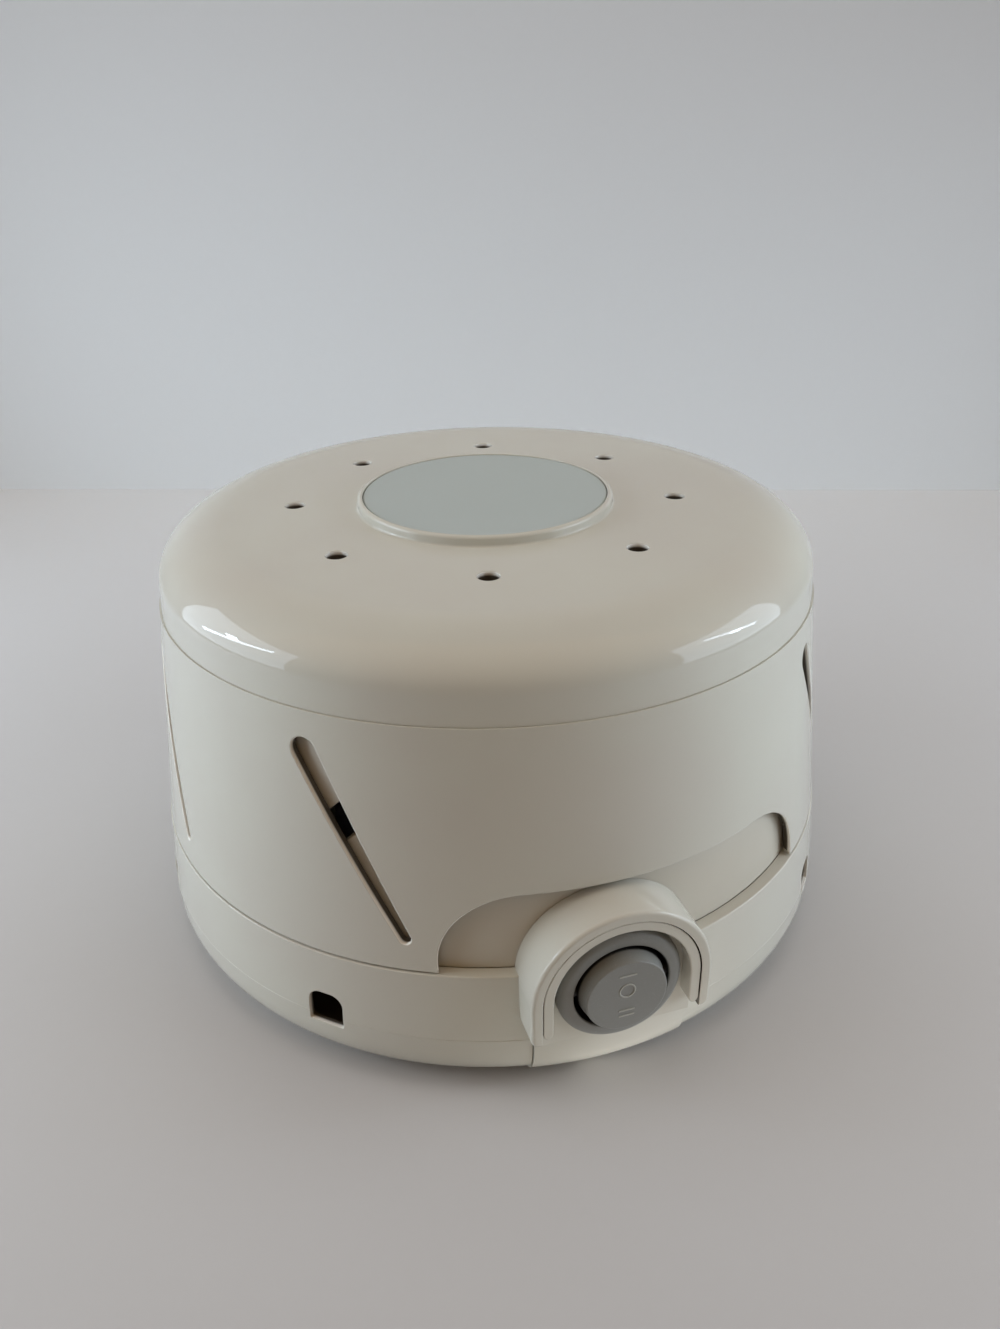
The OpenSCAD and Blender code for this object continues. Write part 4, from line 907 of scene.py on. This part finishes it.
def make_camera():
    """Camera above the table, in front and a little to the left, looking down at the machine."""
    camera = bpy.data.objects.new("camera", bpy.data.cameras.new("camera"))
    bpy.context.scene.collection.objects.link(camera)
    camera.data.lens = CAMERA_LENS
    camera.data.sensor_width = CAMERA_SENSOR
    camera.data.clip_start = CAMERA_NEAR * MM
    camera.location = at(*CAMERA_AT)
    aim = at(*CAMERA_AIM) - camera.location
    turn = aim.to_track_quat("-Z", "Y").to_matrix() @ Matrix.Rotation(math.radians(CAMERA_ROLL), 3, "Z")
    camera.rotation_euler = turn.to_euler()
    bpy.context.scene.camera = camera


def room():
    """Frame of the room about the turning axis: X to the right of the view, Y to its back wall."""
    return Matrix.Translation(at(0, 0, 0)) @ Matrix.Rotation(math.radians(-ROOM_TURN), 4, "Z")


def paper(name, near, far, reach, lean):
    """Matt paper with painted light: its tone goes from a darker colour near the room's middle to a
    lighter one far at its back left. Reach says where that starts and ends, and lean how much it turns to
    the left. Outside the lit part of the room the camera sees the paper as the even, pale surroundings."""
    f = Finish(name)
    place = f.node("Mapping", {"Vector": f.place, "Rotation": (0, 0, math.radians(ROOM_TURN))})
    x, y, z = (f.node("SeparateXYZ", {"Vector": place}, out=axis) / MM for axis in "XYZ")
    fibres = f.noise(350, detail=5, roughness=0.6)
    # painted light: darker near the middle, lighter towards the back left
    tone = f.mix(f.step_up(y - z - x * lean, *reach), near, far)
    f.surface(f.mix(fibres * 0.03, tone, FIBRE), PAPER_ROUGHNESS, [(fibres, 0.00002, 0.3)])
    beside, ahead = f.step_up(abs(x), *LIT_BESIDE), f.step_up(y, *LIT_AHEAD)
    away = beside.at_least(ahead).at_least(f.step_up(z, *LIT_HEIGHT))
    seen = away * f.node("LightPath", out="Is Camera Ray")
    glow = f.node("Emission", {"Color": SURROUNDINGS})
    bsdf = Wire(f, f.shader.outputs[0])
    both = f.node("MixShader", {0: seen, 1: bsdf, 2: glow})
    f.tree.links.new(both.socket, f.tree.nodes["Material Output"].inputs["Surface"])
    return f.material


def make_stage():
    """Pale table with a wall behind it."""
    # both papers are painted lighter towards the back, where more light falls
    table = paper("table paper", srgb(186, 184, 182), srgb(226, 230, 233), (-60, 320), 0.1)
    backdrop = paper("wall paper", srgb(156, 149, 144), srgb(215, 217, 217), (-190, 300), 0.22)
    for name, size, y, z, turn, material in (
            ("floor", TABLE_DEPTH, WALL_BACK - TABLE_DEPTH / 2, 0, 0, table),
            ("wall", WALL_HEIGHT, WALL_BACK, WALL_HEIGHT / 2, 90, backdrop)):
        bm = bmesh.new()
        bmesh.ops.create_grid(bm, x_segments=1, y_segments=1, size=0.5)
        bm.transform(room() @ Matrix.Translation((0, y * MM, z * MM))
                     @ Matrix.Rotation(math.radians(turn), 4, "X")
                     @ Matrix.Diagonal((PAPER_WIDTH * MM, size * MM, 1, 1)))
        mesh = bpy.data.meshes.new(name)
        bm.to_mesh(mesh)
        bm.free()
        sheet = bpy.data.objects.new(name, mesh)
        bpy.context.scene.collection.objects.link(sheet)
        mesh.materials.append(material)


def lamp(name, place, size, facing, radiance, turn=0.0, colour=(1, 1, 1), mirrored=True):
    """Rectangle of light at a place in the room, in millimetres, the way that it faces, and whether
    glossy surfaces mirror it."""
    light = bpy.data.lights.new(name, "AREA")
    light.shape = "RECTANGLE"
    light.size, light.size_y = (s * MM for s in size)
    light.energy = radiance * math.pi * light.size * light.size_y
    light.color = colour
    panel = bpy.data.objects.new(name, light)
    bpy.context.scene.collection.objects.link(panel)
    panel.visible_camera = False
    panel.visible_glossy = mirrored
    aim = Vector(facing).to_track_quat("-Z", "Y").to_matrix() @ Matrix.Rotation(math.radians(turn), 3, "Z")
    panel.matrix_world = room() @ Matrix.Translation(Vector(place) * MM) @ aim.to_4x4()


# Light boxes: name, side, middle (y, z) and size of the box, middle, length and tilt of its tube,
# middle of its bulb, and how bright tube and bulb are
SIDE_LAMPS = (
    ("left", -1, (-70, 150), (360, 300), (-80, 153), 207, 35, (-62, 166), 10.0, 26.0),
    ("right", 1, (-50, 140), (320, 280), (-48, 167), 146, -41, (-40, 152), 7.0, 16.0),
)
# How far their lamps are from the middle of the room, how bright sheet and fill are, and the sizes
SHEET_OFF, FILL_OFF, TUBE_OFF, BULB_OFF = 349, 348, 345, 343
SHEET, FILL, SHEET_SHARE, TUBE_WIDTH, BULB_SIZE = 2.1, 1.5, 0.85, 18, (30, 22)
# Lamp overhead: height, size and brightness
OVERHEAD_HEIGHT, OVERHEAD_SIZE, OVERHEAD = 500, (350, 350), 1.7
# Light that the table throws back up in front of the switch: name, middle, size and brightness
GLOWS = (("table glow", (36, -94, 0.6), (62, 40), 0.4), ("apron glow", (38, -75, 0.5), (36, 22), 1.0))
# Colours of the light boxes, the lamp overhead and the sky
COOL, DAYLIGHT, SKY = (0.86, 1.0, 1.15), (0.96, 1.0, 1.06), (0.50, 0.31, 0.14, 1)


def make_lamps():
    """A light box on either side, with a bright sheet that gloss mirrors, a fill that it doesn't, a slim
    tube and a bulb, and a soft lamp overhead and the table's glow."""
    for name, side, (y, z), (wide, high), tube_at, length, tilt, bulb_at, tube, bulb in SIDE_LAMPS:
        inwards = (-side, 0, 0)
        sheet = (wide * SHEET_SHARE, high * SHEET_SHARE)
        lamp(name + " sheet", (side * SHEET_OFF, y, z), sheet, inwards, SHEET, colour=COOL)
        lamp(name + " fill", (side * FILL_OFF, y, z), (wide, high), inwards, FILL, colour=COOL,
             mirrored=False)
        lamp(name + " tube", (side * TUBE_OFF, *tube_at), (length, TUBE_WIDTH), inwards, tube, tilt, COOL)
        lamp(name + " bulb", (side * BULB_OFF, *bulb_at), BULB_SIZE, inwards, bulb, tilt, COOL)
    lamp("overhead", (0, 0, OVERHEAD_HEIGHT), OVERHEAD_SIZE, (0, 0, -1), OVERHEAD, colour=DAYLIGHT,
         mirrored=False)
    for name, place, size, radiance in GLOWS:
        lamp(name, place, size, (0, 0, 1), radiance, mirrored=False)


def make_world():
    """Dim room, dark below and warm overhead, which the camera sees as the pale surroundings."""
    world = bpy.data.worlds.new("room")
    f = Finish("room", world)
    sky = f.mix(f.node("SeparateXYZ", {"Vector": f.place}, out="Z"), (0, 0, 0, 1), SKY)
    seen = f.mix(f.node("LightPath", out="Is Camera Ray"), sky, SURROUNDINGS)
    f.tree.links.new(seen.socket, f.shader.inputs["Color"])
    bpy.context.scene.world = world
    bpy.context.scene.view_settings.view_transform = "Standard"


make_camera()
make_base()
make_gland()
make_panel()
make_bezel()
make_rocker()
make_drum()
make_collar()
make_cap()
make_disc()
dress_inner_parts()
make_stage()
make_lamps()
make_world()
